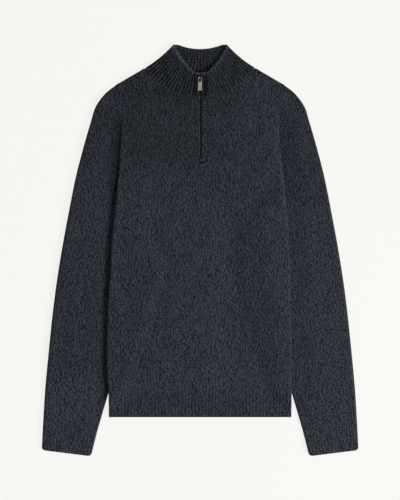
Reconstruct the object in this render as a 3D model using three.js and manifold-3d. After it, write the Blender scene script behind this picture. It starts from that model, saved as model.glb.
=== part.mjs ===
import * as THREE from 'three';
import { mergeVertices } from 'three/addons/utils/BufferGeometryUtils.js';
import Module from 'manifold-3d';

// A quarter zip sweater laid flat on its back, in millimetres.
// X runs to the right as it is seen, Y up to the collar, Z off the surface it lies on.
// Its left and right sides mirror each other, apart from the soft folds, the zip's place
// and the bow of the collar's edges.

// Driving sizes
const cloth = { wall: 2.8, gap: 0.5, edgeRadius: 4, leastEdge: 0.5, edgeGap: 0.15, seam: 0.3, linkSeam: 0.4 };
const body = { hemTop: -281, hemBottom: -333, underarm: 120, shoulderX: 167, shoulderY: 330 };
const neck = { halfWidth: 108.6, sideY: 364.2, depth: 60.2, backDepth: 17.2, power: 2.3, steps: 7 };
const rib = { height: 0.9, endShare: 0.25, endRun: 1.2, hem: 53, cuff: 15, collarFront: 16, collarBack: 24 };
const collar = { wall: 2.6, tipX: 53.4, tipY: 410, frontTopY: 354.6, flatHalf: 12.5, backDip: 8.5 };
const collarForm = { waist: 2.6, puff: 1.3, puffHeight: 0.5, foldRadius: 5, bowLeft: 2.7, bowRight: 5 };
const collarRibs = { from: 0.06, to: 0.955, backTo: 0.9 };
const collarRuns = { frontSeam: 150, frontEdge: 80, backSeam: 112, backEdge: 52 };
const collarHeights = [0, 0.5, 0.94, 1];
const cuff = { outerX: 316, outerY: -398.5, innerX: 217.5, innerY: -410.8, corner: 6, endDrop: 0.5 };
const cuffEndRows = [2, 0.5, 0];
const sleeveForm = { foldRadius: 6, foldRings: 3, ringStep: 0.6 };
const sleevePuff = { height: 2.3, from: 16, run: 34, rings: 2 };
const sleeveTaper = { from: 9, run: 3, share: 0.3 };
const zip = { x: 1, bottom: 183.6, grooveHalf: 2.2, edge: 1, edgeRun: 6 };
const zipRise = { height: 1.4, half: 16, run: 20, below: 18, belowRun: 12 };
const tape = { width: 12, z: 3.7, thick: 0.7, bead: 1.8, beadHalf: 1.9, below: 3, above: 2 };
const slider = { y: 344.6, z: 7.2, width: 7, length: 9.4, plate: 1.2, stemWidth: 3.4, stemLength: 6 };
const sliderEnds = { noseShare: 0.5, tailShare: 0.7, shoulder: 1 };
const bridge = { width: 1.6, inner: 1.3, outer: 2.2, axisAbove: 1.2, sunk: 0.2 };
const tab = { length: 27.6, neckWidth: 4.2, topWidth: 6.6, bottomWidth: 8.6, thick: 1.2, drop: 1.5 };
const tabForm = { bar: 0.8, shoulder: 3.4, corner: 0.8, holeWidth: 3.6, holeLength: 9.4 };
const liftForm = { ahead: 14, run: 36, clear: 0.6 };
const armholeEnd = { above: 4, run: 16 };
const shoulderEdgeRun = 12;
const weldDistance = 1e-4;

// Half width of the front and back, from the hem up to the shoulder's tip
const bodySides = [
  { y: -333, x: 181 },
  { y: -281, x: 182 },
  { y: -234, x: 184.4 },
  { y: -134, x: 182.6 },
  { y: -34, x: 179.3 },
  { y: 60, x: 175.4 },
  { y: 120, x: 169.2 },
  { y: 150, x: 165.2 },
  { y: 208, x: 159.2 },
  { y: 268, x: 157 },
  { y: 296, x: 158 },
  { y: 330, x: 167 },
];

// Sections of a sleeve from the armhole to the cuff: its upper fold, its underarm fold
// and how far the section bows towards the body
const sleeveSections = [
  { at: 0, topX: 167, topY: 330, underX: 169.2, underY: 120, bow: 1 },
  { at: 1, topX: 189.4, topY: 312, underX: 173.5, underY: 104, bow: 0.8 },
  { at: 2, topX: 208.4, topY: 286, underX: 177, underY: 88, bow: 0.6 },
  { at: 3, topX: 218, topY: 256, underX: 158, underY: 64, bow: 0.4 },
  { at: 4, topX: 232, topY: 208, underX: 134, underY: 36, bow: 0.2 },
  { at: 5, topX: 248, topY: 146, underX: 117, underY: 4, bow: 0 },
  { at: 6, topX: 262, topY: 76, underX: 111, underY: -32, bow: 0 },
  { at: 7, topX: 275, topY: 6, underX: 113, underY: -64, bow: 0 },
  { at: 8, topX: 286.2, topY: -64, underX: 124, underY: -106, bow: 0 },
  { at: 9, topX: 295.1, topY: -134, underX: 142, underY: -162, bow: 0 },
  { at: 10, topX: 302.5, topY: -206, underX: 163, underY: -222, bow: 0 },
  { at: 11, topX: 309, topY: -276, underX: 183, underY: -286, bow: 0 },
  { at: 12, topX: 313.4, topY: -347, underX: 204.5, underY: -359, bow: 0 },
];

// How far from the middle the body is lifted by the sleeves that lie under its sides
const liftEdge = [
  { y: -333, x: 230 },
  { y: -305, x: 203 },
  { y: -286, x: 183 },
  { y: -222, x: 163 },
  { y: -162, x: 142 },
  { y: -106, x: 124 },
  { y: -64, x: 113 },
  { y: -32, x: 111 },
  { y: 4, x: 117 },
  { y: 36, x: 134 },
  { y: 64, x: 152 },
  { y: 88, x: 168 },
  { y: 104, x: 184 },
  { y: 122, x: 215 },
];

// Soft folds in the upper layer: a line on the garment, the fold's half width and height
const softFolds = [
  { x0: -150, y0: 128, x1: -72, y1: 62, half: 22, height: 0.9 },
  { x0: 150, y0: 120, x1: 86, y1: 40, half: 24, height: 0.8 },
  { x0: -118, y0: 236, x1: -66, y1: 268, half: 20, height: 0.6 },
  { x0: 60, y0: -150, x1: 150, y1: -96, half: 26, height: 0.7 },
  { x0: -140, y0: -210, x1: -40, y1: -236, half: 24, height: 0.6 },
  { x0: -264, y0: 30, x1: -200, y1: -20, half: 18, height: 0.9 },
  { x0: 262, y0: 18, x1: 204, y1: -44, half: 20, height: 0.8 },
  { x0: -284, y0: -170, x1: -222, y1: -196, half: 20, height: 0.7 },
  { x0: 290, y0: -226, x1: 226, y1: -200, half: 18, height: 0.7 },
];

// Heights of the rows of the front and back at their sides, below and along the armhole
const lowerRows = [-256, -222, -176, -130, -84, -40, 0, 28, 52, 72, 88, 104, 120];
const armholeRows = [150, 193, 226, 260, 294, 326, 329, 330];
const edgeInsets = [0, 1, 4];
const outerColumns = [124, 143];

// Shares of the width at which the undersides of the hem and cuffs bend
const hemSideShares = [0.02, 0.04, 0.06, 0.08, 0.11, 0.16, 0.3, 0.45];
const cuffUnderShares = [0.2, 0.4, 0.6, 0.8];

const layers = 2 * cloth.wall + cloth.gap;
const middle = layers / 2;
const smooth = (t) => THREE.MathUtils.smoothstep(t, 0, 1);
const mix = THREE.MathUtils.lerp;
const clamp = THREE.MathUtils.clamp;
const roundOff = (distance, radius) => Math.sqrt(1 - (1 - clamp(distance / radius, 0, 1)) ** 2);

// One column of a table, read at a key between its rows along a smooth curve
function column(rows, key, name, at) {
  const last = rows.length - 1;
  const low = clamp(rows.findIndex((row) => row[key] > at) - 1, 0, last - 1);
  const i = at >= rows[last][key] ? last - 1 : low;
  const slope = (k) => {
    const before = rows[Math.max(k - 1, 0)];
    const after = rows[Math.min(k + 1, last)];
    return (after[name] - before[name]) / (after[key] - before[key]);
  };
  const span = rows[i + 1][key] - rows[i][key];
  const t = clamp((at - rows[i][key]) / span, 0, 1);
  const start = rows[i][name] * (2 * t ** 3 - 3 * t ** 2 + 1);
  const end = rows[i + 1][name] * (3 * t ** 2 - 2 * t ** 3);
  return start + end + span * (slope(i) * (t ** 3 - 2 * t ** 2 + t) + slope(i + 1) * (t ** 3 - t ** 2));
}

// Straight lines through a list of [key, value] pairs
function straight(pairs, at) {
  const i = clamp(pairs.findIndex((pair) => pair[0] > at) - 1, 0, pairs.length - 2);
  const low = at >= pairs[pairs.length - 1][0] ? pairs.length - 2 : i;
  const share = (at - pairs[low][0]) / (pairs[low + 1][0] - pairs[low][0]);
  return mix(pairs[low][1], pairs[low + 1][1], clamp(share, 0, 1));
}

const sideAt = (y) => column(bodySides, 'y', 'x', y);

// The body's rise over a sleeve that lies under its side
function lift(x, y) {
  const inside = Math.abs(x) - column(liftEdge, 'y', 'x', y) + liftForm.ahead;
  return (layers + liftForm.clear) * smooth((inside + liftForm.run) / liftForm.run);
}

function softFold(x, y) {
  return softFolds.reduce((sum, fold) => {
    const start = new THREE.Vector3(fold.x0, fold.y0, 0);
    const end = new THREE.Vector3(fold.x1, fold.y1, 0);
    const point = new THREE.Vector3(x, y, 0);
    const near = new THREE.Line3(start, end).closestPointToPoint(point, true, new THREE.Vector3());
    return sum + fold.height * Math.exp(-((near.distanceTo(point) / fold.half) ** 2));
  }, 0);
}

// The upper layer's rise over the zip's tapes and along the soft folds
function rise(x, y) {
  const across = 1 - smooth((Math.abs(x - zip.x) - zipRise.half) / zipRise.run);
  const along = smooth((y - zip.bottom + zipRise.below) / zipRise.belowRun);
  return zipRise.height * across * along + softFold(x, y) * (1 - across * along);
}

// A closed solid from points and four-cornered faces, turned so that its faces point out
function solid(points, quads) {
  const geometry = new THREE.BufferGeometry();
  geometry.setAttribute('position', new THREE.Float32BufferAttribute(points.flat(), 3));
  const volume = quads.reduce((sum, [a, b, c, d]) => {
    const [p, q, r, s] = [a, b, c, d].map((i) => new THREE.Vector3(...points[i]));
    return sum + p.dot(q.clone().cross(r)) + p.dot(r.clone().cross(s));
  }, 0);
  const facing = volume > 0 ? quads : quads.map(([a, b, c, d]) => [a, d, c, b]);
  geometry.setIndex(facing.flatMap(([a, b, c, d]) => [a, b, c, a, c, d]));
  geometry.computeVertexNormals();
  return geometry;
}

// A flat panel between a low and a high surface over a grid, with cells left out where it is open
function slab(across, along, place, isOpen) {
  const points = [];
  const quads = [];
  const at = (i, j, high) => 2 * (j * across + i) + (high ? 1 : 0);
  for (let j = 0; j < along; j += 1) {
    for (let i = 0; i < across; i += 1) {
      const { x, y, low, high } = place(i, j);
      points.push([x, y, low], [x, y, high]);
    }
  }
  const isCell = (i, j) => i >= 0 && j >= 0 && i < across - 1 && j < along - 1 && !isOpen(i, j);
  for (let j = 0; j < along - 1; j += 1) {
    for (let i = 0; i < across - 1; i += 1) {
      if (!isCell(i, j)) continue;
      const ring = [[i, j], [i + 1, j], [i + 1, j + 1], [i, j + 1]];
      const beyond = [[i, j - 1], [i + 1, j], [i, j + 1], [i - 1, j]];
      quads.push(ring.map(([p, q]) => at(p, q, true)));
      const [a, b, c, d] = ring.map(([p, q]) => at(p, q, false));
      quads.push([a, d, c, b]);
      beyond.forEach((cell, side) => {
        if (isCell(...cell)) return;
        const [start, end] = [ring[side], ring[(side + 1) % 4]];
        quads.push([at(...start, false), at(...end, false), at(...end, true), at(...start, true)]);
      });
    }
  }
  return solid(points, quads);
}

// A wall between outer and inner points along rings, closed round each ring or open as a strip
function wall(rings, isClosed) {
  const count = rings[0].length;
  const points = rings.flatMap((ring) => ring.flatMap((station) => [station.outer, station.inner]));
  const at = (k, m, isInner) => 2 * (k * count + (m % count)) + (isInner ? 1 : 0);
  const quads = [];
  const steps = isClosed ? count : count - 1;
  for (let m = 0; m < steps; m += 1) {
    for (let k = 0; k < rings.length - 1; k += 1) {
      quads.push([at(k, m, false), at(k, m + 1, false), at(k + 1, m + 1, false), at(k + 1, m, false)]);
      quads.push([at(k, m, true), at(k + 1, m, true), at(k + 1, m + 1, true), at(k, m + 1, true)]);
    }
    const end = rings.length - 1;
    quads.push([at(0, m, false), at(0, m, true), at(0, m + 1, true), at(0, m + 1, false)]);
    quads.push([at(end, m, false), at(end, m + 1, false), at(end, m + 1, true), at(end, m, true)]);
  }
  for (let k = 0; k < rings.length - 1 && !isClosed; k += 1) {
    const far = count - 1;
    quads.push([at(k, 0, false), at(k + 1, 0, false), at(k + 1, 0, true), at(k, 0, true)]);
    quads.push([at(k, far, false), at(k, far, true), at(k + 1, far, true), at(k + 1, far, false)]);
  }
  return solid(points, quads);
}

// Knots of the neck seam, right half, from the middle to the shoulder
function neckKnots(depth) {
  return Array.from({ length: neck.steps + 1 }, (_, i) => {
    const turn = (i / neck.steps) * (Math.PI / 2);
    const x = neck.halfWidth * Math.sin(turn) ** (2 / neck.power);
    return [x, neck.sideY - depth * Math.cos(turn) ** (2 / neck.power)];
  });
}

// The upper edge of a panel: its neck seam, then the straight shoulder
function panelTop(x, depth) {
  const reach = Math.abs(x);
  const shoulder = [body.shoulderX, body.shoulderY];
  return straight([...neckKnots(depth), shoulder], reach);
}

const panelRows = [body.hemTop + cloth.seam, ...lowerRows, ...armholeRows];

// The row that passes the lower end of the zip's slit in the middle
const zipRow = 1 + lowerRows.length + 1;
const zipMiddleY = neck.sideY - neck.depth;
const zipRowShare = (zip.bottom - body.underarm) / (zipMiddleY - body.underarm);
panelRows[zipRow] = mix(body.underarm, body.shoulderY, zipRowShare);

// Columns of a panel by their place at the top, or by their inset from its side
function panelColumns(middleColumns) {
  const knots = neckKnots(neck.depth).slice(1).map(([x]) => x);
  const right = [...knots, ...outerColumns].map((x) => ({ x }));
  const edge = [...edgeInsets].reverse().map((inset) => ({ x: body.shoulderX - inset, inset }));
  const half = [...right, ...edge];
  const mirrored = [...half].reverse().map((item) => ({ ...item, x: -item.x }));
  return [...mirrored, ...middleColumns.map((x) => ({ x })), ...half];
}

// A place on a panel: rows bend up with its top edge and columns spread with its sides
function panelPlace(item, j, depth) {
  const side = Math.sign(item.x);
  const top = panelTop(item.x, depth);
  const rowY = panelRows[j];
  const inset = body.shoulderY - rowY;
  const share = (rowY - body.underarm) / (body.shoulderY - body.underarm);
  const bent = inset <= edgeInsets[2] ? top - inset : mix(body.underarm, top, share);
  const y = share > 0 ? bent : rowY;
  const innermost = zipRise.half;
  const sideX = sideAt(rowY);
  const flank = sideX - cloth.edgeRadius;
  const spread = (Math.abs(item.x) - innermost) / (body.shoulderX - cloth.edgeRadius - innermost);
  const between = mix(innermost, flank, spread);
  const reach = Math.abs(item.x) <= innermost ? Math.abs(item.x) : between;
  const x = side * (item.inset === undefined ? reach : sideX - item.inset);
  const rolled = roundOff(item.inset ?? cloth.edgeRadius, cloth.edgeRadius);
  const isSeamed = smooth((body.underarm + armholeEnd.above - y) / armholeEnd.run);
  const sideRound = mix(1, rolled, isSeamed);
  const isShoulder = smooth((Math.abs(item.x) - neck.halfWidth) / shoulderEdgeRun);
  const topRound = mix(1, roundOff(inset, cloth.edgeRadius), isShoulder);
  return { x, y, round: Math.min(sideRound, topRound) };
}

function frontPanel() {
  const grooveEdges = [zip.grooveHalf, zip.grooveHalf + zip.edgeRun];
  const leftColumns = grooveEdges.map((x) => zip.x - x).reverse();
  const rightColumns = grooveEdges.map((x) => zip.x + x);
  const columns = panelColumns([...leftColumns, ...rightColumns]);
  const slit = columns.findIndex((item) => item.x === zip.x - zip.grooveHalf);
  const place = (i, j) => {
    const { x, y, round } = panelPlace(columns[i], j, neck.depth);
    const centre = lift(x, y) + middle;
    const low = centre + mix(cloth.edgeGap, cloth.gap / 2 + rise(x, y), round);
    const isGroove = (i === slit || i === slit + 1) && j >= zipRow;
    const thick = isGroove ? zip.edge : cloth.wall;
    return { x, y, low, high: Math.max(low + cloth.leastEdge, mix(centre, low + thick, round)) };
  };
  return slab(columns.length, panelRows.length, place, (i, j) => i === slit && j >= zipRow);
}

function backPanel() {
  const columns = panelColumns([0]);
  const place = (i, j) => {
    const { x, y, round } = panelPlace(columns[i], j, neck.backDepth);
    const centre = lift(x, y) + middle;
    const high = centre - mix(cloth.edgeGap, cloth.gap / 2, round);
    return { x, y, low: Math.min(high - cloth.leastEdge, centre - middle * round), high };
  };
  return slab(columns.length, panelRows.length, place, () => false);
}

// Stations round a pressed tube: insets from its two folds and shares of the width between,
// over the top from fold to fold and back underneath
function tubeStations(topShares, underShares) {
  const half = (shares, face) => [
    ...edgeInsets.map((inset) => ({ face, inset: inset / cloth.edgeRadius, from: 0 })),
    ...shares.map((entry) => ({ face, share: entry.share ?? entry, rib: entry.rib ?? 0 })),
    ...[...edgeInsets].reverse().map((inset) => ({ face, inset: inset / cloth.edgeRadius, from: 1 })),
  ];
  const under = half(underShares, -1).slice(1, -1).reverse();
  return [...half(topShares, 1), ...under];
}

// Shares across a ribbed face: a crest in the middle of each rib and a valley between two
function ribShares(count) {
  return Array.from({ length: 2 * count - 1 }, (_, i) => {
    const station = i + 1;
    return { share: station / (2 * count), rib: station % 2 };
  });
}

// One ring of a pressed tube, from fold to fold along a line that place draws
function tubeRing(stations, form) {
  const { place, width, radius, base, extra, ribHeight } = form;
  const level = (x, y, face, round, height) => {
    const low = base(x, y);
    const centre = low + middle;
    const high = low + layers + extra(x, y);
    return face > 0
      ? { outer: mix(centre, high + height, round), inner: mix(centre, high - cloth.wall, round) }
      : { outer: mix(centre, low, round), inner: mix(centre, low + cloth.wall, round) };
  };
  return stations.map((station) => {
    const inset = (station.inset ?? 0) * radius;
    const along = station.share === undefined
      ? Math.abs(station.from * width - inset)
      : mix(radius, width - radius, station.share);
    const distance = Math.min(along, width - along);
    const round = roundOff(distance, radius);
    const deeper = distance < radius ? mix(cloth.wall, radius, distance / radius) - distance : 0;
    const innerAlong = along < width / 2 ? along + deeper : along - deeper;
    const [x, y] = place(along / width);
    const [innerX, innerY] = place(innerAlong / width);
    const height = (station.rib ?? 0) * ribHeight;
    return {
      outer: [x, y, level(x, y, station.face, round, height).outer],
      inner: [innerX, innerY, level(innerX, innerY, station.face, round, height).inner],
    };
  });
}

function sleeve(side) {
  const seamTop = body.shoulderY - cloth.edgeRadius;
  const seamEnd = body.underarm + cloth.edgeRadius;
  const seamRows = panelRows.filter((y) => y > seamEnd && y < seamTop);
  const shares = seamRows.map((y) => (seamTop - y) / (seamTop - seamEnd)).reverse();
  const armholeEdge = panelRows.map((y) => [y, sideAt(y)]);
  const stations = tubeStations(shares, shares);
  const first = sleeveSections[0];
  const count = Math.round(sleeveSections[sleeveSections.length - 1].at / sleeveForm.ringStep);
  const rings = Array.from({ length: count + 1 }, (_, k) => {
    const at = k * sleeveForm.ringStep;
    const read = (name) => column(sleeveSections, 'at', name, at);
    const [topX, topY, underX, underY] = ['topX', 'topY', 'underX', 'underY'].map(read);
    const bow = Math.max(read('bow'), 0);
    const place = (share) => {
      const seamX = straight(armholeEdge, mix(body.shoulderY, body.underarm, share)) + cloth.linkSeam;
      const offset = bow * (seamX - mix(first.topX, first.underX, share));
      return [side * (mix(topX, underX, share) + offset), mix(topY, underY, share)];
    };
    const radius = mix(cloth.edgeRadius, sleeveForm.foldRadius, smooth(at / sleeveForm.foldRings));
    const extra = (x, y) => {
      const clear = Math.abs(x) - sideAt(y) - sleevePuff.from;
      const away = smooth(clear / sleevePuff.run) * smooth(at / sleevePuff.rings);
      const toCuff = mix(1, sleeveTaper.share, smooth((at - sleeveTaper.from) / sleeveTaper.run));
      return away * (sleevePuff.height * toCuff + softFold(x, y));
    };
    const width = Math.hypot(topX - underX, topY - underY);
    return tubeRing(stations, { place, width, radius, extra, base: () => 0, ribHeight: 0 });
  });
  return wall(rings, true);
}

function cuffBand(side) {
  const top = sleeveSections[sleeveSections.length - 1];
  const stations = tubeStations(ribShares(rib.cuff), cuffUnderShares);
  const length = Math.hypot(cuff.outerX - top.topX, cuff.outerY - top.topY);
  const endRows = [cuff.corner, ...cuffEndRows].map((inset) => length - inset);
  const rows = [cloth.seam, length / 2, ...endRows];
  const rings = rows.map((down) => {
    const share = down / length;
    const start = [mix(top.topX, cuff.outerX, share), mix(top.topY, cuff.outerY, share)];
    const end = [mix(top.underX, cuff.innerX, share), mix(top.underY, cuff.innerY, share)];
    const width = Math.hypot(end[0] - start[0], end[1] - start[1]);
    const past = clamp((down - length + cuff.corner) / cuff.corner, 0, 1);
    const inset = (cuff.corner * (1 - Math.sqrt(1 - past ** 2))) / width;
    const place = (part) => {
      const t = mix(inset, 1 - inset, part);
      return [side * mix(start[0], end[0], t), mix(start[1], end[1], t)];
    };
    const isEnd = down === length;
    const extra = () => sleevePuff.height * sleeveTaper.share - (isEnd ? cuff.endDrop : 0);
    const ribHeight = isEnd ? rib.height * rib.endShare : rib.height;
    return tubeRing(stations, { place, width, radius: cloth.edgeRadius, extra, base: () => 0, ribHeight });
  });
  return wall(rings, true);
}

function hemBand() {
  const underShares = [...hemSideShares, ...hemSideShares.map((share) => 1 - share).reverse()];
  const stations = tubeStations(ribShares(rib.hem), underShares);
  const middleRow = (body.hemTop + body.hemBottom) / 2;
  const rings = [body.hemTop, middleRow, body.hemBottom + rib.endRun, body.hemBottom].map((y) => {
    const half = sideAt(y);
    const place = (share) => [mix(-half, half, share), y];
    const isEnd = y === body.hemBottom;
    const extra = () => (isEnd ? -cloth.gap / 2 : 0);
    const ribHeight = isEnd ? rib.height * rib.endShare : rib.height;
    const width = 2 * half;
    return tubeRing(stations, { place, width, radius: cloth.edgeRadius, extra, base: lift, ribHeight });
  });
  return wall(rings, true);
}

// The seam of the collar on a panel's neck edge: share 0 in the middle, 1 at the shoulder
function neckSeam(share, depth) {
  const knots = neckKnots(depth).map(([x, y]) => new THREE.Vector2(x, y));
  const runs = [0];
  knots.slice(1).forEach((knot, i) => runs.push(runs[i] + knot.distanceTo(knots[i])));
  const at = share * runs[runs.length - 1];
  const x = straight(knots.map((knot, i) => [runs[i], knot.x]), at);
  const y = straight(knots.map((knot, i) => [runs[i], knot.y]), at);
  const inward = 1 - cloth.linkSeam / depth;
  const narrow = 1 - cloth.linkSeam / neck.halfWidth;
  return [x * narrow, neck.sideY - (neck.sideY - y) * inward];
}

// How far the collar's side folds curve in between the shoulder and the tip
function collarWaist(share, height) {
  const depth = collarForm.waist * 4 * height * (1 - height) * share ** 3;
  const slope = Math.atan2(collar.tipY - neck.sideY, neck.halfWidth - collar.tipX);
  return [depth * Math.sin(slope), depth * Math.cos(slope)];
}

// The collar's front half in plan: share 0 at the zip, 1 at its side fold, height 0 at the seam.
// Its free edge bows away from the opening.
function collarFrontPlace(share, height, bow) {
  const [seamX, seamY] = neckSeam(mix(zip.grooveHalf / collarRuns.frontSeam, 1, share), neck.depth);
  const runX = collar.tipX - collar.flatHalf;
  const runY = collar.tipY - collar.frontTopY;
  const slope = Math.hypot(runX, runY);
  const flat = collar.flatHalf / (collar.flatHalf + slope);
  const rising = clamp((share - flat) / (1 - flat), 0, 1);
  const flatX = mix(zip.grooveHalf, collar.flatHalf, share / flat);
  const bend = bow * 4 * rising * (1 - rising);
  const edgeX = share < flat ? flatX : mix(collar.flatHalf, collar.tipX, rising) + (bend * runY) / slope;
  const edgeY = mix(collar.frontTopY, collar.tipY, rising) - (bend * runX) / slope;
  const [waistX, waistY] = collarWaist(share, height);
  return [mix(seamX, edgeX, height) - waistX, mix(seamY, edgeY, height) - waistY];
}

// The collar's back in plan: share 0 in the middle, 1 at a side fold
function collarBackPlace(share, height) {
  const [seamX, seamY] = neckSeam(share, neck.backDepth);
  const edgeY = collar.tipY - collar.backDip * (1 - share ** 2);
  const [waistX, waistY] = collarWaist(share, height);
  return [mix(seamX, collar.tipX * share, height) - waistX, mix(seamY, edgeY, height) - waistY];
}

function collarBand() {
  const centre = collar.wall + rib.height + cloth.seam / 2;
  const radius = collarForm.foldRadius;
  const ribAt = (station, height) => (station.rib ?? 0) * rib.height * (height < 1 ? 1 : rib.endShare);

  // A station's share of its half, its rounding at the side fold and the share of its inner point
  const settle = (station, length) => {
    const share = station.inset === undefined ? station.share : 1 - (station.inset * radius) / length;
    const distance = (1 - share) * length;
    const deeper = distance < radius ? mix(collar.wall, radius, distance / radius) - distance : 0;
    return { share, innerShare: share - deeper / length, round: roundOff(distance, radius) };
  };
  const front = (side, station, height) => {
    const length = mix(collarRuns.frontSeam, collarRuns.frontEdge, height);
    const bow = side < 0 ? collarForm.bowLeft : collarForm.bowRight;
    const { share, innerShare, round } = settle(station, length);
    const [x, y] = collarFrontPlace(share, height, bow);
    const [innerX, innerY] = collarFrontPlace(innerShare, height, bow);
    const overTape = zipRise.height * (1 - smooth((x - zipRise.half) / zipRise.run));
    const puff = collarForm.puff * Math.sin(Math.PI * share) * smooth(height / collarForm.puffHeight);
    const low = centre + cloth.seam / 2 + overTape + puff;
    const thick = station.isZipEdge ? zip.edge : collar.wall + ribAt(station, height);
    const middleX = zip.x * (1 - share);
    return {
      outer: [middleX + side * x, y, mix(centre, low + thick, round)],
      inner: [middleX + side * innerX, innerY, mix(centre, low, round)],
    };
  };
  const back = (side, station, height) => {
    const length = mix(collarRuns.backSeam, collarRuns.backEdge, height);
    const { share, innerShare, round } = settle(station, length);
    const [x, y] = collarBackPlace(share, height);
    const [innerX, innerY] = collarBackPlace(innerShare, height);
    return {
      outer: [side * x, y, mix(centre, 0, round)],
      inner: [side * innerX, innerY, mix(centre, collar.wall + ribAt(station, height), round)],
    };
  };
  const spread = (count, first, last) => ribShares(count).map((station) => (
    { ...station, share: mix(first, last, station.share) }));
  const fold = [...edgeInsets].reverse().map((inset) => ({ inset: inset / cloth.edgeRadius }));
  const frontStations = [
    { share: 0, isZipEdge: true },
    { share: zip.edgeRun / collarRuns.frontSeam },
    ...spread(rib.collarFront, collarRibs.from, collarRibs.to),
    ...fold,
  ];
  const backStations = [...spread(rib.collarBack / 2, 0, collarRibs.backTo), ...fold.slice(0, -1)];
  const rings = collarHeights.map((height) => [
    ...frontStations.map((station) => front(-1, station, height)),
    ...[...backStations].reverse().map((station) => back(-1, station, height)),
    back(1, { share: 0 }, height),
    ...backStations.map((station) => back(1, station, height)),
    ...[...frontStations].reverse().map((station) => front(1, station, height)),
  ]);
  return wall(rings, false);
}

const wasm = await Module();
wasm.setup();

// A closed mesh as a solid that can be joined or cut
function toManifold(geometry) {
  const bare = geometry.clone();
  bare.deleteAttribute('normal');
  bare.deleteAttribute('uv');
  const merged = mergeVertices(bare, weldDistance);
  const triVerts = new Uint32Array(merged.index.array);
  const vertProperties = merged.attributes.position.array;
  return new wasm.Manifold(new wasm.Mesh({ numProp: 3, vertProperties, triVerts }));
}

function fromManifold(shape) {
  const mesh = shape.getMesh();
  const geometry = new THREE.BufferGeometry();
  geometry.setAttribute('position', new THREE.BufferAttribute(mesh.vertProperties, 3));
  geometry.setIndex(new THREE.BufferAttribute(mesh.triVerts, 1));
  geometry.computeVertexNormals();
  return geometry;
}

// One zip tape with its row of teeth as a raised bead, which ends where the slit does
function zipTape(side) {
  const inner = cloth.seam / 2;
  const end = collar.frontTopY - tape.above;
  const bar = (reach, start, thick) => {
    const box = new THREE.BoxGeometry(reach - inner, end - start, thick);
    return toManifold(box.translate(side * (reach + inner) / 2, (end + start) / 2, thick / 2));
  };
  const flat = bar(tape.width, zip.bottom - tape.below, tape.thick);
  const joined = flat.add(bar(tape.beadHalf, zip.bottom + 2 * cloth.seam, tape.bead));
  return fromManifold(joined).translate(zip.x, 0, tape.z);
}

const hingeZ = slider.z + slider.plate + bridge.axisAbove;

// The slider: a plate with a pointed nose, a stem down to the teeth and a bridge that holds the tab
function zipSlider() {
  const halfWidth = slider.width / 2;
  const halfLength = slider.length / 2;
  const nose = halfWidth * sliderEnds.noseShare;
  const tail = halfWidth * sliderEnds.tailShare;
  const waist = [halfLength - nose - sliderEnds.shoulder, nose - halfLength];
  const plateShape = new THREE.Shape([
    new THREE.Vector2(-tail, -halfLength),
    new THREE.Vector2(tail, -halfLength),
    new THREE.Vector2(halfWidth, waist[1]),
    new THREE.Vector2(halfWidth, waist[0]),
    new THREE.Vector2(nose, halfLength),
    new THREE.Vector2(-nose, halfLength),
    new THREE.Vector2(-halfWidth, waist[0]),
    new THREE.Vector2(-halfWidth, waist[1]),
  ]);
  const plate = new THREE.ExtrudeGeometry(plateShape, { depth: slider.plate, bevelEnabled: false });
  plate.translate(zip.x, slider.y, slider.z);
  const stemHeight = slider.z - tape.z - tape.bead - cloth.seam + bridge.sunk;
  const stem = new THREE.BoxGeometry(slider.stemWidth, slider.stemLength, stemHeight);
  stem.translate(zip.x, slider.y, slider.z + bridge.sunk - stemHeight / 2);
  const archShape = new THREE.Shape();
  const foot = -bridge.axisAbove - bridge.sunk;
  archShape.moveTo(bridge.outer, foot);
  archShape.lineTo(bridge.outer, 0);
  archShape.absarc(0, 0, bridge.outer, 0, Math.PI, false);
  archShape.lineTo(-bridge.outer, foot);
  archShape.lineTo(-bridge.inner, foot);
  archShape.lineTo(-bridge.inner, 0);
  archShape.absarc(0, 0, bridge.inner, Math.PI, 0, true);
  archShape.lineTo(bridge.inner, foot);
  archShape.closePath();
  const archForm = { depth: bridge.width, bevelEnabled: false, curveSegments: 8 };
  const arch = new THREE.ExtrudeGeometry(archShape, archForm);
  arch.translate(0, 0, -bridge.width / 2);
  arch.rotateX(Math.PI / 2).rotateZ(Math.PI / 2);
  arch.translate(zip.x, slider.y, hingeZ);
  return fromManifold(toManifold(plate).add(toManifold(stem)).add(toManifold(arch)));
}

// The pull tab, lying down over the zip with its lower end dropped on to the cloth
function pullTab() {
  const outline = new THREE.Shape();
  const { bar, shoulder, corner, holeWidth, holeLength } = tabForm;
  const end = bar - tab.length;
  outline.moveTo(-tab.neckWidth / 2, bar);
  outline.lineTo(-tab.topWidth / 2, -shoulder);
  outline.lineTo(-tab.bottomWidth / 2, end + corner);
  outline.quadraticCurveTo(-tab.bottomWidth / 2, end, -tab.bottomWidth / 2 + corner, end);
  outline.lineTo(tab.bottomWidth / 2 - corner, end);
  outline.quadraticCurveTo(tab.bottomWidth / 2, end, tab.bottomWidth / 2, end + corner);
  outline.lineTo(tab.topWidth / 2, -shoulder);
  outline.lineTo(tab.neckWidth / 2, bar);
  outline.closePath();
  const hole = new THREE.Path();
  const half = holeWidth / 2;
  hole.moveTo(half, -bar);
  hole.lineTo(-half, -bar);
  hole.lineTo(-half, half - holeLength);
  hole.absarc(0, half - holeLength, half, Math.PI, 2 * Math.PI, false);
  hole.closePath();
  outline.holes.push(hole);
  const form = { depth: tab.thick, bevelEnabled: false, curveSegments: 6 };
  return new THREE.ExtrudeGeometry(outline, form).translate(0, 0, -tab.thick / 2);
}

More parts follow.
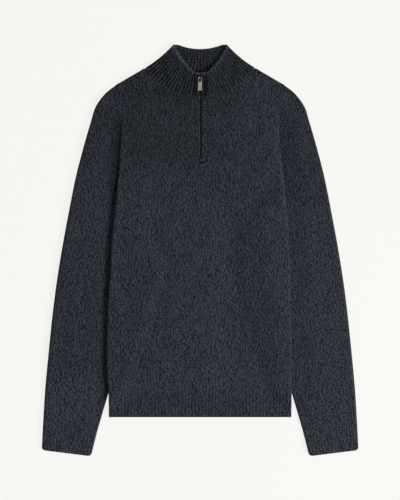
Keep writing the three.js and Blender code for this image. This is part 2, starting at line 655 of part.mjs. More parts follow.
const marl = { color: '#2c2f36', roughness: 0.95, metalness: 0 };
const ribbed = { color: '#2a2d34', roughness: 0.95, metalness: 0 };
const woven = { color: '#191b20', roughness: 0.9, metalness: 0 };
const brass = { color: '#a89a73', roughness: 0.35, metalness: 1 };

const sweater = new THREE.Group();

function add(name, geometry, finish) {
  const mesh = new THREE.Mesh(geometry, new THREE.MeshStandardMaterial(finish));
  mesh.name = name;
  sweater.add(mesh);
  return mesh;
}

add('front_panel', frontPanel(), marl);
add('back_panel', backPanel(), marl);
add('hem_rib', hemBand(), ribbed);
add('sleeve_left', sleeve(-1), marl);
add('sleeve_right', sleeve(1), marl);
add('cuff_left', cuffBand(-1), ribbed);
add('cuff_right', cuffBand(1), ribbed);
add('collar', collarBand(), ribbed);
add('zip_tape_left', zipTape(-1), woven);
add('zip_tape_right', zipTape(1), woven);
add('zip_slider', zipSlider(), brass);

const pull = add('pull_tab', pullTab(), brass);
pull.position.set(zip.x, slider.y, hingeZ);
pull.rotation.x = Math.asin(tab.drop / tab.length);

export default sweater;
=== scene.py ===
import math

import bpy
import numpy as np
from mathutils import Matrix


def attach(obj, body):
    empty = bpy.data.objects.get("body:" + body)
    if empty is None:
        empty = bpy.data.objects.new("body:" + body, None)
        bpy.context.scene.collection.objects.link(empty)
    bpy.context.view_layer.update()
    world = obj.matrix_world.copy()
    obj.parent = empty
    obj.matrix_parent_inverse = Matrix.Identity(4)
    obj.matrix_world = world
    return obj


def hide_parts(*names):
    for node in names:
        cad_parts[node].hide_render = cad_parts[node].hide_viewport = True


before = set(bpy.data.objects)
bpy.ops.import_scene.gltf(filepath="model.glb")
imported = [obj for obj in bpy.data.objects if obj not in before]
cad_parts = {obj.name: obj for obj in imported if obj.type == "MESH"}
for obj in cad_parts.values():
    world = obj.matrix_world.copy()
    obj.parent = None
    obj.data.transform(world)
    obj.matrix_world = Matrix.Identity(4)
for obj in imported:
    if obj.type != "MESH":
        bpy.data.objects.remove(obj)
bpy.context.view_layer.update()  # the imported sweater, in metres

# A quarter zip sweater laid flat on its back. X runs right, Y up to the collar, Z off the floor.
# Shapes are worked out in millimetres and turned into metres when a mesh is made.

mm = 0.001
cloth = {"wall": 2.8, "gap": 0.5, "seam": 0.02, "edgeRadius": 4.0, "edgeGap": 0.15, "leastEdge": 0.5,
         "loft": 1.5, "loftRun": 46.0, "overFold": 3.0}
body = {"hemTop": -281.0, "hemBottom": -333.0, "underarm": 120.0, "shoulderX": 167.0, "shoulderY": 330.0}
neck = {"halfWidth": 108.6, "sideY": 364.2, "depth": 60.2, "backDepth": 17.2, "power": 2.3, "steps": 48}
zipper = {"x": 1.0, "bottom": 183.6, "left": -0.3, "right": 2.2, "closed": 0.25, "edge": 1.0, "edgeRun": 4.5,
          "rise": 1.4, "riseHalf": 16.0, "riseRun": 20.0, "tapeWidth": 12.0}
layers = 2 * cloth["wall"] + cloth["gap"]
middle = layers / 2

# Half width of the front and back, from the hem up to the shoulder's tip
bodySides = [
    {"y": -333, "x": 182}, {"y": -281, "x": 182.3}, {"y": -234, "x": 184.4}, {"y": -134, "x": 182.6},
    {"y": -34, "x": 179.3}, {"y": 60, "x": 175.4}, {"y": 120, "x": 169.2}, {"y": 150, "x": 165.2},
    {"y": 208, "x": 159.2}, {"y": 268, "x": 157}, {"y": 296, "x": 158}, {"y": 330, "x": 167},
]

# Sections of a sleeve from the armhole to the cuff: its outer fold, its inner fold, and how far it
# follows the curve of the armhole
sleeveSections = [
    {"at": 0, "topX": 167, "topY": 330, "underX": 169.2, "underY": 120, "bow": 1},
    {"at": 1, "topX": 189.4, "topY": 312, "underX": 161, "underY": 104, "bow": 0.8},
    {"at": 2, "topX": 208.4, "topY": 286, "underX": 152, "underY": 86, "bow": 0.6},
    {"at": 3, "topX": 218, "topY": 256, "underX": 144, "underY": 64, "bow": 0.4},
    {"at": 4, "topX": 232, "topY": 208, "underX": 134, "underY": 36, "bow": 0.2},
    {"at": 5, "topX": 248, "topY": 146, "underX": 117, "underY": 4, "bow": 0},
    {"at": 6, "topX": 262, "topY": 76, "underX": 111, "underY": -32, "bow": 0},
    {"at": 7, "topX": 275, "topY": 6, "underX": 113, "underY": -64, "bow": 0},
    {"at": 8, "topX": 286.2, "topY": -64, "underX": 124, "underY": -106, "bow": 0},
    {"at": 9, "topX": 295.1, "topY": -134, "underX": 142, "underY": -162, "bow": 0},
    {"at": 10, "topX": 302.5, "topY": -206, "underX": 163, "underY": -222, "bow": 0},
    {"at": 11, "topX": 309, "topY": -276, "underX": 183, "underY": -286, "bow": 0},
    {"at": 12, "topX": 313.4, "topY": -347, "underX": 204.5, "underY": -359, "bow": 0},
]

# How far from the middle the sleeves that lie under the body's sides reach. They lift it from there
# on, with a longer slope at the top.
liftEdge = [
    {"y": -333, "x": 230}, {"y": -305, "x": 203}, {"y": -286, "x": 183}, {"y": -222, "x": 163},
    {"y": -162, "x": 142}, {"y": -106, "x": 124}, {"y": -64, "x": 113}, {"y": -32, "x": 111},
    {"y": 4, "x": 117}, {"y": 36, "x": 134}, {"y": 64, "x": 150}, {"y": 88, "x": 165},
    {"y": 104, "x": 182}, {"y": 126, "x": 212}, {"y": 160, "x": 226},
]
liftForm = {"ahead": 14.0, "run": 36.0, "clear": 0.6, "topRun": 60.0, "topFrom": -10.0, "topOver": 70.0}

# Soft folds of the upper layer: a line from (x0, y0) to (x1, y1), its half width and height.
# Troughs have a height below nothing.
softFolds = [
    {"x0": -150, "y0": 128, "x1": -72, "y1": 62, "half": 22, "height": 0.9},
    {"x0": 150, "y0": 120, "x1": 86, "y1": 40, "half": 30, "height": 0.3},
    {"x0": -118, "y0": 236, "x1": -66, "y1": 268, "half": 20, "height": 0.6},
    {"x0": 60, "y0": -150, "x1": 150, "y1": -96, "half": 26, "height": 0.7},
    {"x0": -140, "y0": -210, "x1": -40, "y1": -236, "half": 24, "height": 0.6},
    {"x0": -264, "y0": 30, "x1": -200, "y1": -20, "half": 18, "height": 0.9},
    {"x0": 262, "y0": 18, "x1": 204, "y1": -44, "half": 20, "height": 0.8},
    {"x0": -284, "y0": -170, "x1": -222, "y1": -196, "half": 20, "height": 0.7},
    {"x0": 290, "y0": -226, "x1": 226, "y1": -200, "half": 18, "height": 0.7},
]
fineFolds = [
    {"x0": -160, "y0": 96, "x1": -96, "y1": 24, "half": 9, "height": -0.9},
    {"x0": -128, "y0": 150, "x1": -60, "y1": 118, "half": 11, "height": -0.5},
    {"x0": 162, "y0": 84, "x1": 108, "y1": 8, "half": 14, "height": -0.4},
    {"x0": 132, "y0": 168, "x1": 84, "y1": 128, "half": 12, "height": -0.5},
    {"x0": -34, "y0": 150, "x1": -20, "y1": 96, "half": 12, "height": -0.4},
    {"x0": 44, "y0": 172, "x1": 30, "y1": 92, "half": 14, "height": 0.5},
    {"x0": -92, "y0": -44, "x1": -24, "y1": -92, "half": 18, "height": -0.5},
    {"x0": 20, "y0": -22, "x1": 120, "y1": -64, "half": 20, "height": 0.5},
    {"x0": 74, "y0": -176, "x1": 158, "y1": -134, "half": 12, "height": -0.7},
    {"x0": -150, "y0": -180, "x1": -70, "y1": -204, "half": 12, "height": -0.6},
    {"x0": -20, "y0": -196, "x1": 60, "y1": -224, "half": 16, "height": 0.5},
    {"x0": -240, "y0": 96, "x1": -202, "y1": 40, "half": 10, "height": -0.8},
    {"x0": -214, "y0": 236, "x1": -186, "y1": 160, "half": 12, "height": 0.7},
    {"x0": -272, "y0": -66, "x1": -214, "y1": -98, "half": 11, "height": -0.7},
    {"x0": -290, "y0": -246, "x1": -226, "y1": -262, "half": 12, "height": -0.6},
    {"x0": 238, "y0": 100, "x1": 206, "y1": 30, "half": 11, "height": -0.8},
    {"x0": 208, "y0": 240, "x1": 186, "y1": 176, "half": 13, "height": 0.6},
    {"x0": 276, "y0": -88, "x1": 214, "y1": -128, "half": 12, "height": -0.7},
    {"x0": 296, "y0": -276, "x1": 232, "y1": -252, "half": 11, "height": 0.5},
]
hiddenFolds = [
    {"x0": -120, "y0": 150, "x1": -30, "y1": 60, "half": 12, "height": 1.0},
    {"x0": 104, "y0": 130, "x1": 44, "y1": 16, "half": 10, "height": 0.9},
    {"x0": -60, "y0": -40, "x1": 70, "y1": -78, "half": 15, "height": 0.8},
    {"x0": -96, "y0": -168, "x1": 20, "y1": -150, "half": 12, "height": 0.9},
    {"x0": 24, "y0": -212, "x1": 118, "y1": -180, "half": 11, "height": 0.7},
    {"x0": 10, "y0": 250, "x1": 60, "y1": 196, "half": 14, "height": 0.8},
    {"x0": -250, "y0": 60, "x1": -206, "y1": -10, "half": 9, "height": 1.0},
    {"x0": -280, "y0": -120, "x1": -214, "y1": -160, "half": 11, "height": 0.8},
    {"x0": -292, "y0": -262, "x1": -232, "y1": -240, "half": 8, "height": 0.6},
    {"x0": 246, "y0": 84, "x1": 210, "y1": 8, "half": 10, "height": 0.9},
    {"x0": 284, "y0": -96, "x1": 216, "y1": -150, "half": 12, "height": 0.9},
    {"x0": 292, "y0": -214, "x1": 236, "y1": -236, "half": 8, "height": 0.6},
]


def smooth(t):
    t = np.clip(t, 0, 1)
    return t * t * (3 - 2 * t)


def mix(a, b, t):
    return a + (b - a) * t


def roundOff(distance, radius):
    return np.sqrt(1 - (1 - np.clip(distance / radius, 0, 1)) ** 2)


# One column of a table, read at a key between its rows along a smooth curve
def column(rows, key, name, at):
    keys = np.array([row[key] for row in rows], float)
    values = np.array([row[name] for row in rows], float)
    last = len(rows) - 1
    before = np.maximum(np.arange(last + 1) - 1, 0)
    after = np.minimum(np.arange(last + 1) + 1, last)
    slopes = (values[after] - values[before]) / (keys[after] - keys[before])
    i = np.clip(np.searchsorted(keys, at, side="right") - 1, 0, last - 1)
    span = keys[i + 1] - keys[i]
    t = np.clip((at - keys[i]) / span, 0, 1)
    ends = values[i] * (2 * t**3 - 3 * t**2 + 1) + values[i + 1] * (3 * t**2 - 2 * t**3)
    return ends + span * (slopes[i] * (t**3 - 2 * t**2 + t) + slopes[i + 1] * (t**3 - t**2))


# The sides lie a little further in round the armpits, most of all the left one, and the body's
# lower part lies a little to the left
sideLine = {
    "left": {"inward": 4.2, "y": 90.0, "run": 66.0}, "right": {"inward": 1.5, "y": 92.0, "run": 34.0},
    "shift": 1.8, "shiftFrom": -40.0, "shiftRun": 60.0, "shiftEnd": 22.0,
}


def inwardAt(y, side):
    left, right = (
        sideLine[word]["inward"] * np.exp(-(((y - sideLine[word]["y"]) / sideLine[word]["run"]) ** 2))
        for word in ("left", "right"))
    shift = sideLine["shift"] * smooth((sideLine["shiftFrom"] - y) / sideLine["shiftRun"])
    shift = shift * smooth((y - body["hemTop"]) / sideLine["shiftEnd"])
    return np.where(np.asarray(side) < 0, left - shift, right + shift)


def sideAt(y, side=1):
    return column(bodySides, "y", "x", y) - inwardAt(y, side)


# Along the lower armhole the front's edge rolls down and the sleeve dips to meet it
armhole = {"top": 286.0, "fade": 48.0, "low": 84.0, "lowRun": 50.0, "lowShare": 0.3,
           "roll": 1.7, "rollRun": 3.2, "dip": {-1: 1.7, 1: 1.0}, "dipRun": {-1: 9.0, 1: 14.0}}


def armholeShare(y):
    low = mix(armhole["lowShare"], 1, smooth((y - armhole["low"]) / armhole["lowRun"]))
    return smooth((armhole["top"] - y) / armhole["fade"]) * low


# The body's rise over a sleeve that lies under its side
def lift(x, y):
    inside = np.abs(x) - column(liftEdge, "y", "x", y) + liftForm["ahead"]
    run = mix(liftForm["run"], liftForm["topRun"], smooth((y - liftForm["topFrom"]) / liftForm["topOver"]))
    return (layers + liftForm["clear"]) * smooth((inside + run) / run)


def foldHeight(folds, x, y):
    total = np.zeros(np.broadcast(x, y).shape)
    for fold in folds:
        runX = fold["x1"] - fold["x0"]
        runY = fold["y1"] - fold["y0"]
        share = ((x - fold["x0"]) * runX + (y - fold["y0"]) * runY) / (runX**2 + runY**2)
        t = np.clip(share, 0, 1)
        away = np.hypot(x - fold["x0"] - t * runX, y - fold["y0"] - t * runY)
        total += fold["height"] * np.exp(-((away / fold["half"]) ** 2))
    return total


# A closed shell between an outer and an inner grid of points, with cells left out where it is open
def shell(name, outer, inner, uv, tone, isClosed=False, isCell=None):
    rows, columns = outer.shape[:2]
    steps = columns if isClosed else columns - 1
    cells = np.ones((rows - 1, steps), bool) if isCell is None else isCell
    below = np.zeros_like(cells)
    below[1:] = cells[:-1]
    above = np.zeros_like(cells)
    above[:-1] = cells[1:]
    before = np.roll(cells, 1, 1)
    after = np.roll(cells, -1, 1)
    if not isClosed:
        before[:, 0] = False
        after[:, -1] = False
    r, c = np.nonzero(cells)
    size = rows * columns
    corner = {
        "a": r * columns + c,
        "b": r * columns + (c + 1) % columns,
        "e": (r + 1) * columns + (c + 1) % columns,
        "d": (r + 1) * columns + c,
    }
    a, b, e, d = (corner[key] for key in "abed")
    faces = [np.stack([a, b, e, d], 1), np.stack([a, d, e, b], 1) + size]
    for beside, start, end in ((below, b, a), (above, d, e), (after, e, b), (before, a, d)):
        rim = ~beside[r, c]
        faces.append(np.stack([start[rim], end[rim], end[rim] + size, start[rim] + size], 1))
    faces = np.concatenate(faces)
    points = np.concatenate([outer.reshape(-1, 3), inner.reshape(-1, 3)]) * mm
    p, q, s, t = (points[faces[:, k]] for k in range(4))
    volume = np.sum(p * np.cross(q, s)) + np.sum(p * np.cross(s, t))
    faces = faces if volume > 0 else faces[:, ::-1]
    mesh = bpy.data.meshes.new(name)
    mesh.from_pydata(points.tolist(), [], faces.tolist())
    corners = np.concatenate([uv.reshape(-1, 2), uv.reshape(-1, 2)])[faces.ravel()] * mm
    mesh.uv_layers.new(name="knit").data.foreach_set("uv", corners.ravel())
    # each point's tone, the painted light and shade laid on the piece, as an attribute
    tones = np.concatenate([tone.ravel(), tone.ravel()])
    mesh.attributes.new("tone", "FLOAT", "POINT").data.foreach_set("value", tones)
    mesh.shade_smooth()
    mesh.set_sharp_from_angle(angle=math.radians(55))
    mesh.validate()
    piece = bpy.data.objects.new(name, mesh)
    bpy.context.scene.collection.objects.link(piece)
    return piece


def finishPiece(piece, nodes, material, bodyName="garment"):
    piece.data.materials.clear()
    piece.data.materials.append(material)
    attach(piece, bodyName)
    if nodes:
        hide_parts(*nodes)
    return piece


# Materials

class Link:
    # one socket of a material's tree, on which maths is written as on a number
    def __init__(self, tree, socket):
        self.tree = tree
        self.socket = socket

    def node(self, kind, settings, inputs, output=0):
        made = self.tree.nodes.new(kind)
        for name, setting in settings.items():
            setattr(made, name, setting)
        for name, value in inputs.items():
            if isinstance(value, Link):
                self.tree.links.new(value.socket, made.inputs[name])
            else:
                made.inputs[name].default_value = value
        return Link(self.tree, made.outputs[output])

    def out(self, name):
        return Link(self.tree, self.socket.node.outputs[name])

    def math(self, operation, *values):
        return self.node("ShaderNodeMath", {"operation": operation}, dict(enumerate(values)))

    def __add__(self, other):
        return self.math("ADD", self, other)

    def __sub__(self, other):
        return self.math("SUBTRACT", self, other)

    def __rsub__(self, other):
        return self.math("SUBTRACT", other, self)

    def __mul__(self, other):
        return self.math("MULTIPLY", self, other)

    def __pow__(self, other):
        return self.math("POWER", self, other)

    def __abs__(self):
        return self.math("ABSOLUTE", self)

    __radd__ = __add__
    __rmul__ = __mul__

    def floor(self):
        return self.math("FLOOR", self)

    def fract(self):
        return self.math("FRACT", self)

    def hump(self):
        return self.math("SINE", self * math.pi)

    def step(self, start, end):
        return self.node(
            "ShaderNodeMapRange", {"interpolation_type": "SMOOTHSTEP"}, {0: self, 1: start, 2: end})

    def between(self, low, high):
        return self.node("ShaderNodeMix", {"data_type": "RGBA"}, {0: self, 6: low, 7: high}, 2)

    def tinted(self, amount):
        return self.node("ShaderNodeVectorMath", {"operation": "SCALE"}, {0: self, "Scale": amount})


def shown(red, green, blue):
    # a colour as it is seen on a screen, from 0 to 255, as the light that the shaders use
    light = [((c / 255 + 0.055) / 1.055) ** 2.4 if c > 10 else c / 255 / 12.92 for c in (red, green, blue)]
    return (*light, 1)


def newMaterial(name, **fixed):
    material = bpy.data.materials.new(name)
    material.use_nodes = True
    tree = material.node_tree
    shader = tree.nodes["Principled BSDF"]
    for key, value in fixed.items():
        shader.inputs[key.replace("_", " ")].default_value = value
    return material, Link(tree, shader.outputs[0])


def feed(start, socket, link):
    start.tree.links.new(link.socket, start.socket.node.inputs[socket])


# Stocking stitch in a marled yarn. Each stitch is a V of two legs, and each leg has its own tone.
yarn = {
    "dark": shown(14, 16, 23), "light": shown(105, 111, 126), "wale": 3.1 * mm, "course": 2.5 * mm,
    "lean": 0.7, "balance": 1.2, "bump": 0.8 * mm, "groove": 0.4, "waleLine": 0.45, "mottle": 0.08,
    "common": 0.64, "twist": 1.2, "ply": 0.25,
}


def knitMaterial(name, valleyShade=0, fades=()):
    material, start = newMaterial(
        name, Roughness=0.95, Specular_IOR_Level=0.18, Sheen_Weight=0.12, Sheen_Roughness=0.5,
        Sheen_Tint=shown(170, 180, 200))
    uv = start.node("ShaderNodeUVMap", {"uv_map": "knit"}, {})
    u = start.node("ShaderNodeSeparateXYZ", {}, {0: uv})
    wale = u * (1 / yarn["wale"])
    course = u.out("Y") * (1 / yarn["course"])
    waver = start.node("ShaderNodeTexNoise", {}, {"Vector": uv, "Scale": 90.0, "Detail": 1.0}) - 0.5
    wale = wale + waver * 0.25
    side = (wale.fract() - 0.5).math("SIGN", wale.fract() - 0.5)
    slant = course - abs(wale.fract() - 0.5) * (2 * yarn["lean"]) + waver
    relief = (wale * 2).fract().hump() * slant.fract().hump()
    offset = start.node("ShaderNodeTexWhiteNoise", {"noise_dimensions": "1D"}, {"W": wale.floor()})
    row = (slant + offset * 7).floor()
    place = start.node("ShaderNodeCombineXYZ", {}, {0: wale.floor(), 1: row})
    chance = start.node("ShaderNodeTexWhiteNoise", {"noise_dimensions": "2D"}, {"Vector": place}, "Color")
    common = start.node("ShaderNodeSeparateXYZ", {}, {0: chance})
    ply = start.node("ShaderNodeTexNoise", {}, {"Vector": uv, "Scale": 620.0, "Detail": 1.0})
    patch = start.node("ShaderNodeTexNoise", {}, {"Vector": uv, "Scale": 60.0, "Detail": 3.0})
    shade = (common - 0.5) * yarn["common"] + side * (common.out("Y") - 0.5) * yarn["twist"]
    shade = shade + (ply - 0.5) * yarn["ply"] + (patch - 0.5) * yarn["mottle"] + 0.45
    shade = shade.math("MAXIMUM", shade, 0.0) ** yarn["balance"]
    # the tone attribute holds the painted light and shade laid on each piece
    tone = start.node("ShaderNodeAttribute", {"attribute_name": "tone"}, {}, "Fac")
    # painted shade: the grooves between a stitch's legs and the lines between the wales are darker
    depth = relief * yarn["groove"] + (1 - yarn["groove"])
    depth = depth * (wale.fract().hump() * yarn["waleLine"] + (1 - yarn["waleLine"]))
    height = relief + ply * 0.35
    if valleyShade:
        # painted shade in the valleys between the ribs, which fades out between the heights given
        valley = (u * (1 / ribForm["pitch"] / mm)).fract().hump().step(0.25, 0.9)
        for low, high in fades:
            valley = valley.math("MAXIMUM", valley, u.out("Y").step(low * mm, high * mm))
        depth = depth * (valley * valleyShade + (1 - valleyShade))
    colour = shade.between(yarn["dark"], yarn["light"])
    feed(start, "Base Color", colour.tinted(depth * tone))
    bump = start.node("ShaderNodeBump", {}, {"Strength": 1.0, "Distance": yarn["bump"], "Height": height})
    feed(start, "Normal", bump)
    return material


# The front and back

front = {"columnStep": 3.4, "fineStep": 1.0, "rowStep": 4.0, "fineRows": (166, 204), "neckRoll": 2.4}
insets = np.array([0, 0.1, 0.35, 0.8, 1.4, 2.2, 3.1, 4.0])


# Knots of the neck seam, right half, from the middle to the shoulder
def neckKnots(depth):
    turn = np.linspace(0, math.pi / 2, neck["steps"] + 1)
    x = neck["halfWidth"] * np.sin(turn) ** (2 / neck["power"])
    y = neck["sideY"] - depth * np.maximum(np.cos(turn), 0) ** (2 / neck["power"])
    return x, y


# The upper edge of a panel: its neck seam, then the straight shoulder
def panelTop(x, depth):
    knotX, knotY = neckKnots(depth)
    return np.interp(np.abs(x), np.append(knotX, body["shoulderX"]), np.append(knotY, body["shoulderY"]))


def panelRows():
    low = np.arange(body["hemTop"] + cloth["seam"], body["underarm"], front["rowStep"])
    start, end = front["fineRows"]
    high = np.concatenate([
        np.arange(body["underarm"], start, front["rowStep"]),
        np.arange(start, end, front["fineStep"]),
        np.arange(end, body["shoulderY"] - insets[-1], front["rowStep"]),
    ])
    return np.concatenate([low, high, body["shoulderY"] - insets[::-1]])


def panelColumns(middleColumns):
    reach = body["shoulderX"] - insets
    start = zipper["riseHalf"]
    count = round((reach[-1] - start) / front["columnStep"])
    spread = np.linspace(start, reach[-1], count + 1)[1:-1]
    half = np.concatenate([[start], spread, reach[::-1]])
    return np.concatenate([-half[::-1], middleColumns, half])


# Places on a panel: rows bend up with its top edge and columns spread with its sides
def panelPlaces(x0, rowY, depth):
    x0, rowY = np.meshgrid(x0, rowY)
    radius = cloth["edgeRadius"]
    top = panelTop(x0, depth)
    inset = body["shoulderY"] - rowY
    share = (rowY - body["underarm"]) / (body["shoulderY"] - body["underarm"])
    bent = np.where(inset <= radius, top - inset, mix(body["underarm"], top, share))
    y = np.where(share > 0, bent, rowY)
    innermost = zipper["riseHalf"]
    sideX = sideAt(rowY, np.sign(x0))
    spread = (np.abs(x0) - innermost) / (body["shoulderX"] - radius - innermost)
    reach = np.where(np.abs(x0) <= innermost, np.abs(x0), mix(innermost, sideX - radius, spread))
    sideInset = body["shoulderX"] - np.abs(x0)
    x = np.sign(x0) * np.where(sideInset < radius, sideX - sideInset, reach)
    opening = smooth((body["underarm"] + 4 - y) / 16)
    sideRound = mix(1, roundOff(sideInset, radius), opening)
    isShoulder = smooth((np.abs(x0) - neck["halfWidth"]) / 12)
    topRound = mix(1, roundOff(inset, radius), isShoulder)
    return x, y, np.minimum(sideRound, topRound), sideX - np.abs(x), top - y


# The upper layer's rise over the zip's tapes, along the soft folds and from its own loft
def frontRise(x, y, fromSide, fromTop):
    across = 1 - smooth((np.abs(x - zipper["x"]) - zipper["riseHalf"]) / zipper["riseRun"])
    along = smooth((y - zipper["bottom"]) / zipper["tapeWidth"] + 1.5)
    clear = 1 - across * along
    inside = smooth(fromSide / cloth["loftRun"]) * smooth((y - body["hemTop"]) / cloth["loftRun"])
    inside = inside * smooth(fromTop / cloth["loftRun"])
    loft = cloth["loft"] + foldHeight(fineFolds, x, y)
    return zipper["rise"] * (1 - clear) + (foldHeight(softFolds, x, y) + loft * inside) * clear


# The small pinched fold that closes the slit: a trough that curves up at its ends, between two ridges
pinch = {"y": 174.6, "half": 11.5, "end": 1.15, "fade": 0.3, "curve": 0.03, "depth": 1.7, "width": 1.5,
         "ridge": 1.1, "ridgeAway": 4.6, "ridgeWidth": 1.8, "shade": 0.5, "light": 0.35}


def pinchedFold(x, y):
    across = (x - zipper["x"]) / pinch["half"]
    ends = smooth((pinch["end"] - np.abs(across)) / pinch["fade"])
    away = y - pinch["y"] - pinch["curve"] * (x - zipper["x"]) ** 2
    trough = np.exp(-((away / pinch["width"]) ** 2)) * ends
    ridges = np.exp(-(((np.abs(away) - pinch["ridgeAway"]) / pinch["ridgeWidth"]) ** 2)) * ends
    return trough, ridges


# Grooves of sewing along the outer edges of the zip's tapes
sewing = {"away": 13.4, "depth": 0.35, "width": 1.1}


# Painted light and shade along the soft folds, where the cloth is a little darker or lighter: lines as for
# the folds, with the change of tone as their height
foldLightAndShade = [
    {"x0": -78, "y0": -10, "x1": -133, "y1": -239, "half": 20, "height": -0.14},
    {"x0": -165, "y0": 104, "x1": -162, "y1": -150, "half": 13, "height": 0.1},
    {"x0": 36, "y0": 70, "x1": 34, "y1": -290, "half": 20, "height": 0.12},
    {"x0": 115, "y0": 4, "x1": 126, "y1": -120, "half": 16, "height": -0.16},
    {"x0": 134, "y0": -120, "x1": 150, "y1": -240, "half": 18, "height": -0.14},
    {"x0": 228, "y0": 56, "x1": 227, "y1": -150, "half": 14, "height": 0.1},
    {"x0": -217, "y0": -34, "x1": -219, "y1": -220, "half": 15, "height": -0.15},
    {"x0": -262, "y0": -40, "x1": -262, "y1": -220, "half": 20, "height": -0.07},
    {"x0": -278, "y0": -310, "x1": -230, "y1": -300, "half": 30, "height": 0.14},
    {"x0": -164, "y0": 236, "x1": -146, "y1": 214, "half": 14, "height": 0.16},
    {"x0": 180, "y0": 292, "x1": 206, "y1": 236, "half": 24, "height": 0.1},
    {"x0": -154, "y0": 312, "x1": -92, "y1": 326, "half": 22, "height": -0.08},
    {"x0": -16, "y0": 290, "x1": -10, "y1": 180, "half": 44, "height": -0.12},
    {"x0": 60, "y0": 300, "x1": 30, "y1": 200, "half": 30, "height": -0.08},
]


# Slow changes of painted light and shade: painted shade darkens the chest, most of all on the left and round
# the neck, and a painted highlight lightens the right side's edge
chestShade = {"y": 110, "run": 100, "right": 0.04, "left": 0.26, "from": 50, "across": 170}
neckShade = {"depth": 0.16, "run": 30, "past": 12, "fade": 40}
edgeLight = {"width": 10, "low": 0.1, "high": 0.3, "from": -20, "run": 140, "top": 275, "fade": 40}


def bodyLightAndShade(x, y, fromTop):
    chest = smooth((y - chestShade["y"]) / chestShade["run"])
    leftward = smooth((chestShade["from"] - x) / chestShade["across"])
    tone = 1 - chest * mix(chestShade["right"], chestShade["left"], leftward)
    underNeck = smooth((neck["halfWidth"] + neckShade["past"] - np.abs(x)) / neckShade["fade"])
    tone = tone * (1 - neckShade["depth"] * np.exp(-((fromTop / neckShade["run"]) ** 2)) * underNeck)
    tone = tone * (1 + foldHeight(foldLightAndShade, x, y))
    edge = np.exp(-(((sideAt(y) - x) / edgeLight["width"]) ** 2))
    edge = edge * mix(edgeLight["low"], edgeLight["high"], smooth((y - edgeLight["from"]) / edgeLight["run"]))
    return tone * (1 + edge * smooth((edgeLight["top"] - y) / edgeLight["fade"]))


def makeFront(material):
    left = np.array([0, 0.3, 0.8, 1.5, 2.4, 3.4, 4.5, 6, 7.5, 9, 10.5, 11.5, 12.5, 13.5])
    middleColumns = np.concatenate([(zipper["left"] - left)[::-1], zipper["right"] + left[:-2]])
    columns = panelColumns(middleColumns)
    rowY = panelRows()
    x, y, rounded, fromSide, fromTop = panelPlaces(columns, rowY, neck["depth"])
    centre = lift(x, y) + middle
    slit = int(np.argmin(np.abs(columns - zipper["left"])))
    zipMiddleY = neck["sideY"] - neck["depth"]
    share = (zipper["bottom"] - body["underarm"]) / (zipMiddleY - body["underarm"])
    zipRow = int(np.argmin(np.abs(rowY - mix(body["underarm"], body["shoulderY"], share))))
    fromSlit = np.maximum(zipper["left"] - x, x - zipper["right"])
    pastEnd = smooth((y - zipper["bottom"] + 4) / 5)
    rolled = mix(zipper["edge"], cloth["wall"], roundOff(fromSlit, zipper["edgeRun"]))
    thick = mix(cloth["wall"], rolled, pastEnd * (np.abs(x - zipper["x"]) < zipper["riseHalf"]))
    neckEdge = 1 - smooth((np.abs(x) - neck["halfWidth"]) / 6)
    thick = thick - 0.9 * (1 - roundOff(fromTop, front["neckRoll"])) * neckEdge
    groove = sewing["depth"] * np.exp(-(((np.abs(x - zipper["x"]) - sewing["away"]) / sewing["width"]) ** 2))
    trough, ridges = pinchedFold(x, y)
    thick = thick + pinch["ridge"] * ridges - pinch["depth"] * trough
    thick = thick - groove * smooth((y - zipper["bottom"] + 8) / 8)
    thick = thick - armhole["roll"] * armholeShare(y) * (1 - roundOff(fromSide, armhole["rollRun"]))
    low = centre + mix(cloth["edgeGap"], cloth["gap"] / 2 + frontRise(x, y, fromSide, fromTop), rounded)
    high = np.maximum(low + cloth["leastEdge"], mix(centre, low + thick, rounded))
    uv = np.stack([x + np.sign(x) * (1 - rounded) * cloth["overFold"], y], 2)
    isCell = np.ones((len(rowY) - 1, len(columns) - 1), bool)
    isCell[zipRow:, slit] = False
    # painted light on the pinched fold's ridges and painted shade in its trough, over the body's painted
    # light and shade
    tone = bodyLightAndShade(x, y, fromTop) * (1 + pinch["light"] * ridges - pinch["shade"] * trough)
    piece = shell("front", np.stack([x, y, high], 2), np.stack([x, y, low], 2), uv, tone, isCell=isCell)
    finishPiece(piece, ["front_panel"], material)
    return piece


def makeBack(material):
    columns = panelColumns(np.linspace(-zipper["riseHalf"], zipper["riseHalf"], 11)[1:-1])
    x, y, rounded, fromSide, fromTop = panelPlaces(columns, panelRows(), neck["backDepth"])
    centre = lift(x, y) + middle
    inside = smooth(fromSide / cloth["loftRun"]) * smooth((y - body["hemTop"]) / cloth["loftRun"])
    dent = foldHeight(hiddenFolds, x, y) * inside * smooth(fromTop / 90)
    dent = dent * smooth((np.abs(x) - 10) / 24 + smooth((140 - y) / 30))
    high = centre - mix(cloth["edgeGap"], cloth["gap"] / 2, rounded) + dent
    low = np.minimum(high - cloth["leastEdge"], centre - middle * rounded + dent)
    uv = np.stack([x + np.sign(x) * (1 - rounded) * cloth["overFold"], y], 2)
    piece = shell("back", np.stack([x, y, high], 2), np.stack([x, y, low], 2), uv, 1 + 0 * x)
    finishPiece(piece, ["back_panel"], material)
    return piece


# Tubes pressed flat: the sleeves, the cuffs and the hem band

# painted light: the hem is a little lighter than the body, the cuffs more so
ribForm = {"height": 0.75, "pitch": 7.0, "samples": 8, "ramp": 7.0, "hem": 53, "cuff": 15, "endRoll": 1.8,
           "tone": 1.06, "cuffTone": 1.18, "rollUnderShade": 0.7}


